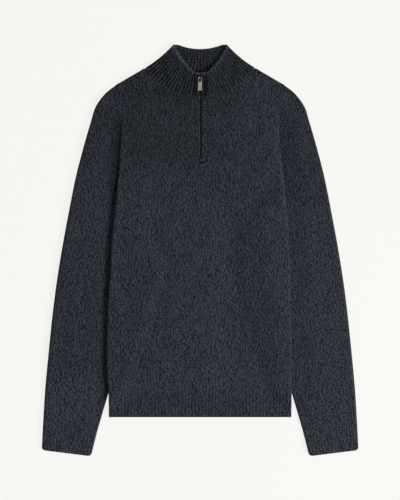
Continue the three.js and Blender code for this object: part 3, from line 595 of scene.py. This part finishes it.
# Distances along a pressed tube from fold to fold, as a face and either an inset from one fold
# or a share of the width between the two folds' rounded parts
def tubeStations(topShares, underShares):
    far = len(insets) - 1
    top = [(1, inset, None, 0) for inset in insets[:-1]]
    top += [(1, None, share, 0) for share in topShares]
    top += [(1, inset, None, 1) for inset in insets[:-1][::-1]]
    under = [(-1, inset, None, 1) for inset in insets[1:far]]
    under += [(-1, None, share, 0) for share in underShares[::-1]]
    under += [(-1, inset, None, 0) for inset in insets[1:far][::-1]]
    return top + under


def ribbed(phase):
    return np.abs(np.sin(math.pi * phase)) ** 0.75


def level(x, y):
    return 0 * x


# One ring of a pressed tube. place turns shares of the width into points on the plan. The last
# value is how far round a fold each point lies, above nothing at the first fold.
def tubeRing(stations, form):
    width = form["width"]
    radius = form["radius"]
    wall = cloth["wall"]
    face = np.array([station[0] for station in stations])
    along = np.array([
        mix(radius, width - radius, share) if inset is None
        else abs(start * width - inset / cloth["edgeRadius"] * radius)
        for _, inset, share, start in stations])
    distance = np.minimum(along, width - along)
    rounded = roundOff(distance, radius)
    deeper = np.where(distance < radius, mix(wall, radius, distance / radius) - distance, 0)
    innerAlong = np.where(along < width / 2, along + deeper, along - deeper)
    ribShare = (along - radius) / (width - 2 * radius)
    crest = ribbed(ribShare * form["ribs"]) * form["ribHeight"] if form["ribs"] else 0
    results = []
    for reach, isInner in ((along, False), (innerAlong, True)):
        x, y = form["place"](reach / width)
        low = form["base"](x, y)
        centre = low + middle
        high = low + layers + form["extra"](x, y)
        dent = form["dent"](x, y)
        roll = form["roll"]
        topOuter = mix(centre, high + (0 if isInner else crest) - form["dip"](x, y), rounded)
        topInner = mix(centre, high - wall, rounded)
        lowOuter = mix(centre, low + dent, rounded)
        lowInner = mix(centre, low + wall + dent, rounded)
        topMiddle = (topOuter + topInner) / 2
        lowMiddle = (lowOuter + lowInner) / 2
        top = mix(topMiddle, topInner if isInner else topOuter, roll)
        under = mix(lowMiddle, lowInner if isInner else lowOuter, roll)
        results.append(np.stack([x, y, np.where(face > 0, top, under)], 1))
    turn = np.where(along < width / 2, 1 - rounded, rounded - 1)
    return results[0], results[1], along, ribShare, turn


def tubeShell(name, rings, uvs, tones):
    outer = np.stack([ring[0] for ring in rings])
    inner = np.stack([ring[1] for ring in rings])
    return shell(name, outer, inner, np.stack(uvs), np.stack(tones), isClosed=True)


sleeveForm = {"foldRadius": 6.0, "overFold": 4.0, "ringStep": 0.1, "puff": 2.3, "puffFrom": 16.0,
              "puffRun": 34.0, "cuffPuff": 0.3, "hidden": 0.8, "shares": 52, "tilt": 9.5}


def makeSleeve(side, name, node, material):
    shares = np.linspace(0, 1, sleeveForm["shares"])
    stations = tubeStations(shares, shares)
    first = sleeveSections[0]
    count = round(sleeveSections[-1]["at"] / sleeveForm["ringStep"])
    tilt = math.radians(sleeveForm["tilt"])
    rings, uvs, tones = [], [], []
    for k in range(count + 1):
        at = k * sleeveForm["ringStep"]
        topX, topY, underX, underY, bow = (
            float(column(sleeveSections, "at", key, at))
            for key in ("topX", "topY", "underX", "underY", "bow"))
        underX = underX - (1 - max(bow, 0)) * inwardAt(underY, side)

        def place(share):
            seamX = sideAt(mix(body["shoulderY"], body["underarm"], share), side) + cloth["seam"]
            offset = max(bow, 0) * (seamX - mix(first["topX"], first["underX"], share))
            return side * (mix(topX, underX, share) + offset), mix(topY, underY, share)

        def clearOfBody(x, y):
            clear = np.abs(x) - sideAt(y) - sleeveForm["puffFrom"]
            return smooth(clear / sleeveForm["puffRun"]) * smooth(at / 2)

        def extra(x, y):
            toCuff = mix(1, sleeveForm["cuffPuff"], smooth((at - 9) / 3))
            folds = foldHeight(softFolds, x, y) + foldHeight(fineFolds, x, y)
            return clearOfBody(x, y) * (sleeveForm["puff"] * toCuff + folds)

        def dent(x, y):
            height = sleeveForm["hidden"] * foldHeight(hiddenFolds, x, y)
            return height * clearOfBody(x, y) * smooth((11.4 - at) / 2)

        def dip(x, y):
            away = np.maximum(np.abs(x) - sideAt(y, side), 0)
            return armhole["dip"][side] * np.exp(-((away / armhole["dipRun"][side]) ** 2)) * armholeShare(y)

        ring = tubeRing(stations, {
            "place": place, "width": math.hypot(topX - underX, topY - underY), "dip": dip,
            "radius": mix(cloth["edgeRadius"], sleeveForm["foldRadius"], float(smooth(at / 3))),
            "base": level, "extra": extra, "dent": dent, "ribs": 0, "ribHeight": 0, "roll": 1})
        x, y = ring[0][:, 0], ring[0][:, 1]
        rings.append(ring)
        overFold = side * ring[4] * sleeveForm["overFold"]
        uvs.append(np.stack([
            x * math.cos(tilt) + side * y * math.sin(tilt) + overFold,
            y * math.cos(tilt) - side * x * math.sin(tilt)], 1))
        tones.append(sleeveLightAndShade(side, x, y))
    piece = tubeShell(name, rings, uvs, tones)
    finishPiece(piece, [node], material)
    return piece


# Painted shadow: the sleeve is darker beside the body's edge, most of all on the left, and painted shade
# darkens its upper part
sleeveShade = {-1: {"depth": 0.84, "run": 15.0, "power": 1.5, "chest": 0.16},
               1: {"depth": 0.24, "run": 34.0, "power": 2.0, "chest": 0.08}}


def sleeveLightAndShade(side, x, y):
    form = sleeveShade[side]
    away = np.maximum(np.abs(x) - sideAt(y, side), 0)
    shade = form["depth"] * np.exp(-((away / form["run"]) ** form["power"])) * armholeShare(y)
    chest = form["chest"] * smooth((y - 60) / 160)
    return (1 - shade) * (1 - chest) * (1 + foldHeight(foldLightAndShade, x, y))


cuff = {"outerX": 316.0, "outerY": -398.5, "innerX": 217.5, "innerY": -410.8, "corner": 6.0}


def ribShares(count):
    return np.linspace(0, 1, count * ribForm["samples"] + 1)


def endRows(length):
    return length - np.array([1.8, 1.3, 0.9, 0.55, 0.3, 0.12, 0.03, 0])


# Painted shade: a rib is darker over its last few millimetres, where it rolls under
def rollUnderShade(left):
    return mix(ribForm["rollUnderShade"], 1, smooth(left / 3))


def makeCuff(side, name, node, material):
    top = sleeveSections[-1]
    stations = tubeStations(ribShares(ribForm["cuff"]), np.linspace(0, 1, 24))
    length = math.hypot(cuff["outerX"] - top["topX"], cuff["outerY"] - top["topY"])
    straight = np.linspace(cloth["seam"], length - cuff["corner"], 14)
    rows = np.concatenate([straight, endRows(length - 1.8), endRows(length)])
    rings, uvs, tones = [], [], []
    for down in rows:
        share = down / length
        start = (mix(top["topX"], cuff["outerX"], share), mix(top["topY"], cuff["outerY"], share))
        end = (mix(top["underX"], cuff["innerX"], share), mix(top["underY"], cuff["innerY"], share))
        width = math.hypot(end[0] - start[0], end[1] - start[1])
        past = min(max((down - length + cuff["corner"]) / cuff["corner"], 0), 1)
        inset = cuff["corner"] * (1 - math.sqrt(1 - past**2)) / width

        def place(part):
            t = mix(inset, 1 - inset, part)
            return side * mix(start[0], end[0], t), mix(start[1], end[1], t)

        ring = tubeRing(stations, {
            "place": place, "width": width, "radius": cloth["edgeRadius"], "base": level,
            "extra": lambda x, y: sleeveForm["puff"] * sleeveForm["cuffPuff"], "dent": level, "dip": level,
            "ribs": ribForm["cuff"],
            "ribHeight": ribForm["height"] * float(smooth(down / ribForm["ramp"])),
            "roll": float(roundOff(length - down, ribForm["endRoll"]))})
        rings.append(ring)
        uvs.append(np.stack([ring[3] * ribForm["cuff"] * ribForm["pitch"], 0 * ring[3] - down], 1))
        tones.append(ribForm["cuffTone"] * rollUnderShade(length - down) + 0 * ring[2])
    piece = tubeShell(name, rings, uvs, tones)
    finishPiece(piece, [node], material)
    return piece


def makeHem(material):
    stations = tubeStations(ribShares(ribForm["hem"]), np.linspace(0, 1, 90))
    length = body["hemTop"] - body["hemBottom"]
    rows = np.concatenate([np.linspace(0, length - 2.4, 16), endRows(length)])
    rings, uvs, tones = [], [], []
    for down in rows:
        y = body["hemTop"] - down
        half = float(sideAt(y))
        ring = tubeRing(stations, {
            "place": lambda share: (mix(-half, half, share), y + 0 * share), "width": 2 * half,
            "radius": cloth["edgeRadius"], "base": lift, "extra": level, "dent": level, "dip": level,
            "ribs": ribForm["hem"], "ribHeight": ribForm["height"] * float(smooth(down / ribForm["ramp"])),
            "roll": float(roundOff(length - down, ribForm["endRoll"]))})
        rings.append(ring)
        uvs.append(np.stack([ring[3] * ribForm["hem"] * ribForm["pitch"], 0 * ring[3] - down], 1))
        tones.append(ribForm["tone"] * rollUnderShade(length - down) + 0 * ring[2])
    piece = tubeShell("hem", rings, uvs, tones)
    finishPiece(piece, ["hem_rib"], material)
    return piece


# The stand collar: one strip from the left side of the zip round the back to the right side

collar = {
    "wall": 2.6, "under": 0.9, "tipX": 53.4, "tipY": 410.0, "frontTopY": 354.6, "flatHalf": 12.5,
    "backDip": 8.5, "tipRun": 0.82, "waist": 2.6, "puff": 1.3, "foldRadius": 5.0, "frontRibs": 16,
    "backRibs": 24, "band": 0.06, "lastRib": 0.965, "lastBackRib": 0.93, "frontSeam": 150.0,
    "frontEdge": 80.0, "backSeam": 112.0, "backEdge": 52.0, "length": 56.0, "bowLeft": 2.7,
    "bowRight": 5.0, "ribHeight": 1.25,
}


def neckSeam(share, depth):
    x, y = neckKnots(depth)
    run = np.concatenate([[0], np.cumsum(np.hypot(np.diff(x), np.diff(y)))])
    inward = 1 - cloth["seam"] / depth
    narrow = 1 - cloth["seam"] / neck["halfWidth"]
    seamY = np.interp(share * run[-1], run, y)
    return np.interp(share * run[-1], run, x) * narrow, neck["sideY"] - (neck["sideY"] - seamY) * inward


# How far the collar's side folds curve in between the shoulder and the tip
def collarWaist(share, height):
    depth = collar["waist"] * 4 * height * (1 - height) * share**3
    slope = math.atan2(collar["tipY"] - neck["sideY"], neck["halfWidth"] - collar["tipX"])
    return depth * math.sin(slope), depth * math.cos(slope)


# The front half in plan: share 0 at the zip, 1 at its side fold, height 0 at the seam
def collarFrontPlace(share, height, slitHalf, bow):
    seamX, seamY = neckSeam(mix(slitHalf / collar["frontSeam"], 1, share), neck["depth"])
    runX = collar["tipX"] - collar["flatHalf"]
    runY = collar["tipY"] - collar["frontTopY"]
    slope = math.hypot(runX, runY)
    flat = collar["flatHalf"] / (collar["flatHalf"] + slope)
    rising = np.clip((share - flat) / (1 - flat), 0, 1)
    flatX = mix(slitHalf, collar["flatHalf"], share / flat)
    bend = bow * 4 * rising * (1 - rising)
    slopeX = mix(collar["flatHalf"], collar["tipX"], rising) + bend * runY / slope
    edgeX = np.where(share < flat, flatX, slopeX)
    edgeY = mix(collar["frontTopY"], collar["tipY"], np.minimum(rising * 1.05, 1)) - bend * runX / slope
    waistX, waistY = collarWaist(share, height)
    return mix(seamX, edgeX, height) - waistX, mix(seamY, edgeY, height) - waistY


def collarBackPlace(share, height):
    seamX, seamY = neckSeam(share, neck["backDepth"])
    edgeY = collar["tipY"] - collar["backDip"] * np.maximum(1 - (share / collar["tipRun"]) ** 2, 0)
    waistX, waistY = collarWaist(share, height)
    return mix(seamX, collar["tipX"] * share, height) - waistX, mix(seamY, edgeY, height) - waistY


def makeCollar(material):
    wall = collar["wall"]
    radius = collar["foldRadius"]
    centre = wall + collar["under"] + cloth["edgeGap"]
    samples = ribForm["samples"]
    fold = insets / cloth["edgeRadius"] * radius
    frontShares = np.concatenate([[0, 0.004, 0.01, 0.02, 0.034, 0.047], np.linspace(
        collar["band"], collar["lastRib"], collar["frontRibs"] * samples + 1)])
    backShares = np.linspace(0, collar["lastBackRib"], collar["backRibs"] // 2 * samples + 1)
    heights = np.concatenate([[0, 0.012, 0.03, 0.06], np.linspace(0.1, 0.92, 18), 1 - np.array(
        [0.06, 0.045, 0.032, 0.02, 0.012, 0.006, 0.002, 0])])
    height = heights[:, None]
    ribFade = smooth((1 - height) / 0.05 - 0.6) * smooth(height / 0.2 + 0.1)
    endRoll = roundOff((1 - height) * collar["length"], 1.6)

    # shares, their depth past the fold and their rounding there, for a row of stations of one half
    def settle(shares, length):
        share = np.concatenate([np.broadcast_to(shares, (len(heights), len(shares))),
                                1 - fold[::-1] / length], 1)
        distance = (1 - share) * length
        deeper = np.where(distance < radius, mix(wall, radius, distance / radius) - distance, 0)
        return share, share - deeper / length, roundOff(distance, radius)

    def frontHalf(side):
        length = mix(collar["frontSeam"], collar["frontEdge"], height)
        share, innerShare, rounded = settle(frontShares, length)
        slitHalf = abs((zipper["left"] if side < 0 else zipper["right"]) - zipper["x"])
        slitHalf = mix(slitHalf, zipper["closed"], smooth((height - 0.8) / 0.1))
        bow = collar["bowLeft"] if side < 0 else collar["bowRight"]
        phase = (share - collar["band"]) / (collar["lastRib"] - collar["band"]) * collar["frontRibs"]
        isRib = (phase > 0) & (share < collar["lastRib"])
        crest = np.where(isRib, ribbed(phase) * collar["ribHeight"], 0) * ribFade
        across = share * length
        edge = mix(zipper["edge"], wall, roundOff(across, 4.0))
        x, y = collarFrontPlace(share, height, slitHalf, bow)
        innerX, innerY = collarFrontPlace(innerShare, height, slitHalf, bow)
        overTape = zipper["rise"] * (1 - smooth((x - zipper["riseHalf"]) / zipper["riseRun"]))
        puff = collar["puff"] * np.sin(math.pi * share) * smooth(height * 2)
        low = centre + cloth["edgeGap"] + overTape + puff
        seamRoll = 0.8 * (1 - roundOff(height * collar["length"], 2.2))
        high = low + edge + crest + 0.45 * smooth((height - 0.93) / 0.03) - seamRoll
        centreLine = (low + high) / 2
        outerZ = mix(centre, mix(centreLine, high, endRoll), rounded)
        innerZ = mix(centre, mix(centreLine, low, endRoll), rounded)
        middleX = zipper["x"] * (1 - share)
        outer = np.stack([middleX + side * x, y, outerZ], 2)
        inner = np.stack([middleX + side * innerX, innerY, innerZ], 2)
        uv = np.stack([phase * ribForm["pitch"], height * collar["length"] + 0 * phase], 2)
        return outer, inner, uv, collarLightAndShade(side, share, height, across)

    def backHalf(side):
        length = mix(collar["backSeam"], collar["backEdge"], height)
        share, innerShare, rounded = settle(backShares, length)
        phase = share / collar["lastBackRib"] * collar["backRibs"] / 2
        crest = np.where(share < collar["lastBackRib"], ribbed(phase) * collar["ribHeight"], 0) * ribFade
        x, y = collarBackPlace(share, height)
        innerX, innerY = collarBackPlace(innerShare, height)
        high = wall + crest
        outerZ = mix(centre, mix(high / 2, 0, endRoll), rounded)
        innerZ = mix(centre, mix(high / 2, high, endRoll), rounded)
        outer = np.stack([side * x, y, outerZ], 2)
        inner = np.stack([side * innerX, innerY, innerZ], 2)
        uv = np.stack([phase * ribForm["pitch"], height * collar["length"] + 0 * phase], 2)
        # painted shade on the inside of the back half, lighter towards the right
        tone = collarShade["inside"] + collarShade["insideSide"] * side * smooth(share / 0.4)
        return outer, inner, uv, tone

    leftFront, rightFront = frontHalf(-1), frontHalf(1)
    leftBack, rightBack = backHalf(-1), backHalf(1)
    strips = [np.concatenate([
        leftFront[k], leftBack[k][:, :-1][:, ::-1], rightBack[k][:, 1:-1], rightFront[k][:, ::-1]], 1)
        for k in range(4)]
    piece = shell("collar_rib", *strips)
    finishPiece(piece, ["collar"], material)
    return piece


# Painted light and shade on the collar: painted shade in a valley beside the zip, under the pull and towards
# the seam, the left half darker than the right, painted light on the band along the zip, a painted highlight
# along its rolled edge, and painted shade on the inside of the back, most of all on the left
collarShade = {
    "inside": 0.9, "insideSide": 0.09, "side": {-1: 0.78, 1: 0.9}, "valley": 0.7, "valleyAt": 10.0,
    "valleyRun": 5.0, "low": 0.88, "high": 1.14, "edge": 1.55, "zipBand": 1.2, "underPull": 0.8,
}


def collarLightAndShade(side, share, height, across):
    fromValley = (across - collarShade["valleyAt"]) / collarShade["valleyRun"]
    tone = collarShade["side"][side] * (1 - collarShade["valley"] * np.exp(-(fromValley**2)))
    tone = tone * mix(collarShade["zipBand"], 1, smooth((across - 3) / 3))
    underPull = np.exp(-((across / 2.5) ** 2) - ((height - 0.72) / 0.12) ** 2)
    tone = tone * (1 - collarShade["underPull"] * underPull)
    tone = tone * mix(collarShade["low"], collarShade["high"], height)
    return mix(tone, collarShade["edge"], smooth((height - 0.885) / 0.05) + 0 * share)


# The zip: two woven tapes with their rows of teeth, a slider and its pull

tape = {"z": 3.7, "thick": 0.7, "below": 3.0, "above": 2.0, "cord": 0.55, "cordAt": 1.2, "rows": 90}
tooth = {"pitch": 1.7, "length": 2.3, "width": 0.95, "height": 1.3}


def tapeMaterial():
    material, start = newMaterial("woven tape", Roughness=0.85, Specular_IOR_Level=0.25)
    uv = start.node("ShaderNodeUVMap", {"uv_map": "knit"}, {})
    u = start.node("ShaderNodeSeparateXYZ", {}, {0: uv})
    v = u.out("Y")
    twill = ((u + abs((v * 250).fract() - 0.5) * 0.002) * 1600).fract().hump()
    weft = (v * 1800).fract().hump()
    height = twill * 0.6 + weft * 0.4
    feed(start, "Base Color", height.between(shown(12, 13, 16), shown(40, 43, 49)))
    bump = start.node("ShaderNodeBump", {}, {"Strength": 0.8, "Distance": 0.3 * mm, "Height": height})
    feed(start, "Normal", bump)
    return material


def makeTape(side, name, node, material):
    across = np.array([0.15, 0.3, 0.7, 1.2, 1.7, 2.2, 3, 4.5, 6, 8, 10, 11.6, zipper["tapeWidth"]])
    top = collar["frontTopY"] - tape["above"]
    y = np.linspace(zipper["bottom"] - tape["below"], top, tape["rows"])[:, None]
    x = across[None, :] + 0 * y
    cord = tape["cord"] * np.exp(-(((x - tape["cordAt"]) / 0.7) ** 2))
    edge = roundOff(np.minimum(x - across[0], across[-1] - x), 0.4)
    centre = tape["z"] + tape["thick"] / 2
    high = centre + (tape["thick"] / 2 + cord) * np.maximum(edge, 0.2)
    low = centre - tape["thick"] / 2 * np.maximum(edge, 0.2)
    plan = zipper["x"] + side * x
    y = y + 0 * x
    uv = np.stack([x, y], 2)
    piece = shell(name, np.stack([plan, y, high], 2), np.stack([plan, y, low], 2), uv, 1 + 0 * x)
    finishPiece(piece, [node], material)
    return piece


def startModelling():
    if bpy.context.object and bpy.context.object.mode != "OBJECT":
        bpy.ops.object.mode_set(mode="OBJECT")
    bpy.ops.object.select_all(action="DESELECT")


def pick(obj, test, kind="faces"):
    # selects the faces, edges or vertices whose middle passes a test, in edit mode
    bpy.ops.mesh.select_all(action="DESELECT")
    bpy.ops.mesh.select_mode(type={"faces": "FACE", "edges": "EDGE", "verts": "VERT"}[kind])
    bpy.ops.object.mode_set(mode="OBJECT")
    mesh = obj.data
    if kind == "faces":
        for face in mesh.polygons:
            face.select = test(face.center, face.normal)
    elif kind == "edges":
        for edge in mesh.edges:
            ends = [mesh.vertices[i].co for i in edge.vertices]
            edge.select = test((ends[0] + ends[1]) / 2, ends[1] - ends[0])
    else:
        for vertex in mesh.vertices:
            vertex.select = test(vertex.co, vertex.normal)
    bpy.ops.object.mode_set(mode="EDIT")


def applyModifier(obj, kind, **settings):
    modifier = obj.modifiers.new(kind.lower(), kind)
    for name, value in settings.items():
        setattr(modifier, name, value)
    bpy.context.view_layer.objects.active = obj
    bpy.ops.object.modifier_apply(modifier=modifier.name)


def block(name, size, centre):
    startModelling()
    bpy.ops.mesh.primitive_cube_add(size=1, location=[c * mm for c in centre])
    obj = bpy.context.object
    obj.name = name
    obj.scale = [s * mm for s in size]
    bpy.ops.object.transform_apply(location=True, rotation=True, scale=True)
    return obj


def smoothByAngle(obj, degrees):
    startModelling()
    obj.select_set(True)
    bpy.context.view_layer.objects.active = obj
    bpy.ops.object.shade_smooth_by_angle(angle=math.radians(degrees))


# One tooth with a narrower head towards the middle, then its copies down the tape
def makeTeeth(side, name, material):
    baseX = zipper["x"] + side * (0.25 + tooth["length"] / 2 - 0.6)
    z = tape["z"] + tape["thick"] + tooth["height"] / 2 - 0.35
    startY = zipper["bottom"] + 1.2 + (tooth["pitch"] / 2 if side > 0 else 0)
    first = block(
        name, (tooth["length"] - 0.7, tooth["width"], tooth["height"]), (baseX + side * 0.35, startY, z))
    bpy.ops.object.mode_set(mode="EDIT")
    pick(first, lambda centre, normal: normal.x * side < -0.9)
    bpy.ops.mesh.extrude_region_move(TRANSFORM_OT_translate={"value": (-side * 0.55 * mm, 0, 0)})
    bpy.ops.transform.resize(value=(1, 0.7, 0.7))
    bpy.ops.mesh.select_all(action="SELECT")
    bpy.ops.mesh.bevel(offset=0.14 * mm, segments=1, affect="EDGES")
    bpy.ops.object.mode_set(mode="OBJECT")
    count = int((collar["frontTopY"] - tape["above"] - 1.5 - startY) / tooth["pitch"])
    applyModifier(first, "ARRAY", count=count, use_relative_offset=False, use_constant_offset=True,
                  constant_offset_displace=(0, tooth["pitch"] * mm, 0))
    smoothByAngle(first, 35)
    return finishPiece(first, [], material)


def metalMaterial(name, colour, roughness, wear, metallic=1.0):
    material, start = newMaterial(name, Metallic=metallic)
    place = start.node("ShaderNodeTexCoord", {}, {}, "Object")
    cloudy = start.node("ShaderNodeTexNoise", {}, {"Vector": place, "Scale": 380.0, "Detail": 3.0})
    stretched = start.node("ShaderNodeMapping", {}, {"Vector": place, "Scale": (9000.0, 500.0, 500.0)})
    brushed = start.node("ShaderNodeTexNoise", {}, {"Vector": stretched, "Scale": 1.0, "Detail": 2.0})
    shade = cloudy * 0.6 + brushed * 0.4
    dull = tuple(c * wear for c in colour[:3]) + (1,)
    feed(start, "Base Color", shade.step(0.25, 0.75).between(dull, colour))
    feed(start, "Roughness", shade * 0.16 + (roughness - 0.08))
    feed(start, "Normal", start.node(
        "ShaderNodeBump", {}, {"Strength": 0.25, "Distance": 0.05 * mm, "Height": brushed}))
    return material


slider = {"y": 344.6, "z": 7.2, "width": 7.0, "length": 9.4, "plate": 1.2, "stem": (3.4, 6.0)}
bridge = {"inner": 1.3, "outer": 2.2, "axisAbove": 1.2, "width": 1.6}
hingeZ = slider["z"] + slider["plate"] + bridge["axisAbove"]


def makeSlider(material, bridgeMaterial):
    plate = block("slider_body", (slider["width"], slider["length"], slider["plate"]),
                  (zipper["x"], slider["y"], slider["z"] + slider["plate"] / 2))
    bpy.ops.object.mode_set(mode="EDIT")
    pick(plate, lambda centre, run: abs(run.z) > 1e-4 and centre.y > slider["y"] * mm, "edges")
    bpy.ops.mesh.bevel(offset=2.0 * mm, segments=4, affect="EDGES")
    pick(plate, lambda centre, run: abs(run.z) > 1e-4 and centre.y < (slider["y"] - 4) * mm, "edges")
    bpy.ops.mesh.bevel(offset=1.0 * mm, segments=3, affect="EDGES")
    pick(plate, lambda centre, normal: normal.z > 0.9)
    bpy.ops.mesh.inset(thickness=0.7 * mm)
    bpy.ops.transform.translate(value=(0, 0, 0.25 * mm))
    bpy.ops.object.mode_set(mode="OBJECT")
    stemTop = slider["z"] + 0.2
    stemLow = tape["z"] + tape["thick"] + 1.2
    stem = block("stem", (*slider["stem"], stemTop - stemLow),
                 (zipper["x"], slider["y"], (stemTop + stemLow) / 2))
    startModelling()
    ring = (bridge["inner"] + bridge["outer"]) / 2
    hinge = (zipper["x"] * mm, slider["y"] * mm, hingeZ * mm)
    bpy.ops.mesh.primitive_torus_add(
        location=hinge, rotation=(0, math.pi / 2, 0),
        major_radius=ring * mm, minor_radius=(bridge["outer"] - bridge["inner"]) / 2 * mm,
        major_segments=32, minor_segments=12)
    arch = bpy.context.object
    bpy.ops.object.transform_apply(location=True, rotation=True, scale=True)
    bpy.ops.object.mode_set(mode="EDIT")
    bpy.ops.mesh.select_all(action="SELECT")
    bpy.ops.transform.resize(value=(bridge["width"], 1, 1), center_override=hinge)
    bpy.ops.mesh.bisect(plane_co=(0, 0, (slider["z"] + slider["plate"]) * mm), plane_no=(0, 0, 1),
                        clear_inner=True, use_fill=True)
    bpy.ops.object.mode_set(mode="OBJECT")
    arch.name = "slider_bridge"
    smoothByAngle(arch, 40)
    finishPiece(arch, [], bridgeMaterial)
    startModelling()
    for part in (plate, stem):
        part.select_set(True)
    bpy.context.view_layer.objects.active = plate
    bpy.ops.object.join()
    applyModifier(plate, "BEVEL", width=0.18 * mm, segments=2, limit_method="ANGLE",
                  angle_limit=math.radians(50))
    smoothByAngle(plate, 40)
    return finishPiece(plate, ["zip_slider"], material)


# The pull: a plate that widens downwards, with a long hole round the slider's bridge
pull = {"x": -0.3, "length": 27.6, "neckWidth": 3.4, "topWidth": 6.7, "bottomWidth": 8.3, "thick": 1.2,
        "bar": 0.8, "shoulder": 3.0, "drop": 1.5, "holeWidth": 4.6, "holeEnd": 10.2, "corner": 0.8,
        "edge": 0.25}


def makePull(material):
    low = -pull["length"] + pull["bar"]
    length = -pull["shoulder"] - low
    plate = block("pull", (pull["bottomWidth"], length, pull["thick"]), (0, low + length / 2, 0))
    bpy.ops.object.mode_set(mode="EDIT")
    pick(plate, lambda centre, normal: normal.y > 0.9)
    bpy.ops.transform.resize(value=(pull["topWidth"] / pull["bottomWidth"], 1, 1))
    bpy.ops.mesh.extrude_region_move(
        TRANSFORM_OT_translate={"value": (0, (pull["shoulder"] + pull["bar"]) * mm, 0)})
    bpy.ops.transform.resize(value=(pull["neckWidth"] / pull["topWidth"], 1, 1))
    pick(plate, lambda centre, run: abs(run.z) > 1e-4 and centre.y < low * 0.9 * mm, "edges")
    bpy.ops.mesh.bevel(offset=pull["corner"] * mm, segments=4, affect="EDGES")
    bpy.ops.object.mode_set(mode="OBJECT")
    half = pull["holeWidth"] / 2
    startModelling()
    bpy.ops.mesh.primitive_cylinder_add(
        vertices=24, radius=half * mm, depth=4 * mm, location=(0, (-pull["holeEnd"] + half) * mm, 0))
    hole = bpy.context.object
    bpy.ops.object.transform_apply(location=True, rotation=True, scale=True)
    bpy.ops.object.mode_set(mode="EDIT")
    pick(hole, lambda centre, normal: centre.y > (-pull["holeEnd"] + half + 0.05) * mm, "verts")
    bpy.ops.transform.translate(value=(0, (pull["holeEnd"] - pull["bar"] - pull["holeWidth"]) * mm, 0))
    bpy.ops.object.mode_set(mode="OBJECT")
    applyModifier(plate, "BOOLEAN", object=hole, operation="DIFFERENCE", solver="EXACT")
    bpy.data.objects.remove(hole)
    applyModifier(plate, "BEVEL", width=pull["edge"] * mm, segments=3, limit_method="ANGLE",
                  angle_limit=math.radians(50))
    smoothByAngle(plate, 40)
    plate.rotation_euler = (math.asin(pull["drop"] / pull["length"]), 0, 0)
    plate.location = (pull["x"] * mm, slider["y"] * mm, hingeZ * mm)
    bpy.ops.object.transform_apply(location=True, rotation=True, scale=True)
    return finishPiece(plate, ["pull_tab"], material, "pull_tab")


# Floor, light and camera

studio = {
    "floor": 0.12, "world": 0.2, "keyPower": 252.0, "keySize": 1.4, "keyPlace": (4.0, -2.1, 2.4),
    "fillPower": 6.0, "fillSize": 2.0, "fillPlace": (-1.4, 1.2, 2.4), "glow": 0.85,
}
view = {"pixel": 0.001991, "rows": 500, "lens": 90.0, "sensor": 36.0, "centreX": -0.1, "centreY": 0.15,
        "plane": 0.008}


def makeStudio():
    startModelling()
    bpy.ops.mesh.primitive_plane_add(size=8, location=(0, 0, -0.0002))
    floor = bpy.context.object
    floor.name = "floor"
    pale = studio["floor"]
    material, start = newMaterial(
        "pale floor", Roughness=0.8, Base_Color=(pale, pale * 0.995, pale * 0.975, 1),
        Specular_IOR_Level=0.1, Emission_Color=(1, 0.992, 0.957, 1), Emission_Strength=studio["glow"])
    floor.data.materials.append(material)
    world = bpy.data.worlds.new("studio")
    bpy.context.scene.world = world
    world.use_nodes = True
    world.node_tree.nodes["Background"].inputs["Strength"].default_value = studio["world"]
    world.node_tree.nodes["Background"].inputs["Color"].default_value = (1, 1, 1, 1)
    for name, power, place, size in (
            ("key", studio["keyPower"], studio["keyPlace"], studio["keySize"]),
            ("fill", studio["fillPower"], studio["fillPlace"], studio["fillSize"])):
        light = bpy.data.lights.new(name, "AREA")
        light.energy = power
        light.size = size
        lamp = bpy.data.objects.new(name, light)
        bpy.context.scene.collection.objects.link(lamp)
        lamp.location = place
        lamp.rotation_euler = lamp.location.to_track_quat("Z", "Y").to_euler()
    camera = bpy.data.cameras.new("camera")
    camera.lens = view["lens"]
    camera.sensor_width = view["sensor"]
    eye = bpy.data.objects.new("camera", camera)
    bpy.context.scene.collection.objects.link(eye)
    distance = view["rows"] * view["pixel"] * view["lens"] / view["sensor"] + view["plane"]
    eye.location = (view["centreX"] * view["pixel"], view["centreY"] * view["pixel"], distance)
    bpy.context.scene.camera = eye
    bpy.context.scene.view_settings.view_transform = "Standard"


marl = knitMaterial("marled stocking stitch")
ribKnit = knitMaterial("marled rib", 0.26)
collarKnit = knitMaterial("marled collar rib", 0.8, ((49, 51.5), (14, -3)))
makeFront(marl)
makeBack(marl)
print("front and back made")
for side, end in ((-1, "L"), (1, "R")):
    word = "left" if side < 0 else "right"
    makeSleeve(side, "sleeve_" + end, "sleeve_" + word, marl)
    makeCuff(side, "cuff_" + end, "cuff_" + word, ribKnit)
print("sleeves and cuffs made")
makeHem(ribKnit)
makeCollar(collarKnit)
print("hem and collar made")
woven = tapeMaterial()
brass = metalMaterial("pale brass", shown(240, 230, 196), 0.34, 0.8, 0.82)
# the teeth are dark brass, darkened further as painted shade for the shadowed slit
shadedBrassTeeth = metalMaterial("brass teeth with painted shade", shown(64, 61, 54), 0.5, 0.5)
# the slider is painted near black as painted shade, where it lies under the pull
shadedSliderMetal = metalMaterial("slider metal with painted shade", shown(30, 28, 26), 0.6, 0.6)
# the bridge is a darker copy of the pull's brass, as painted shade
shadedBrassBridge = metalMaterial("brass bridge with painted shade", shown(84, 78, 64), 0.45, 0.6)
for side, end in ((-1, "L"), (1, "R")):
    word = "left" if side < 0 else "right"
    tapeStrip = makeTape(side, "tape_" + end, "zip_tape_" + word, woven)
    teeth = makeTeeth(side, "teeth_" + end, shadedBrassTeeth)
makeSlider(shadedSliderMetal, shadedBrassBridge)
makePull(brass)
print("zip made")
makeStudio()
print("studio made")
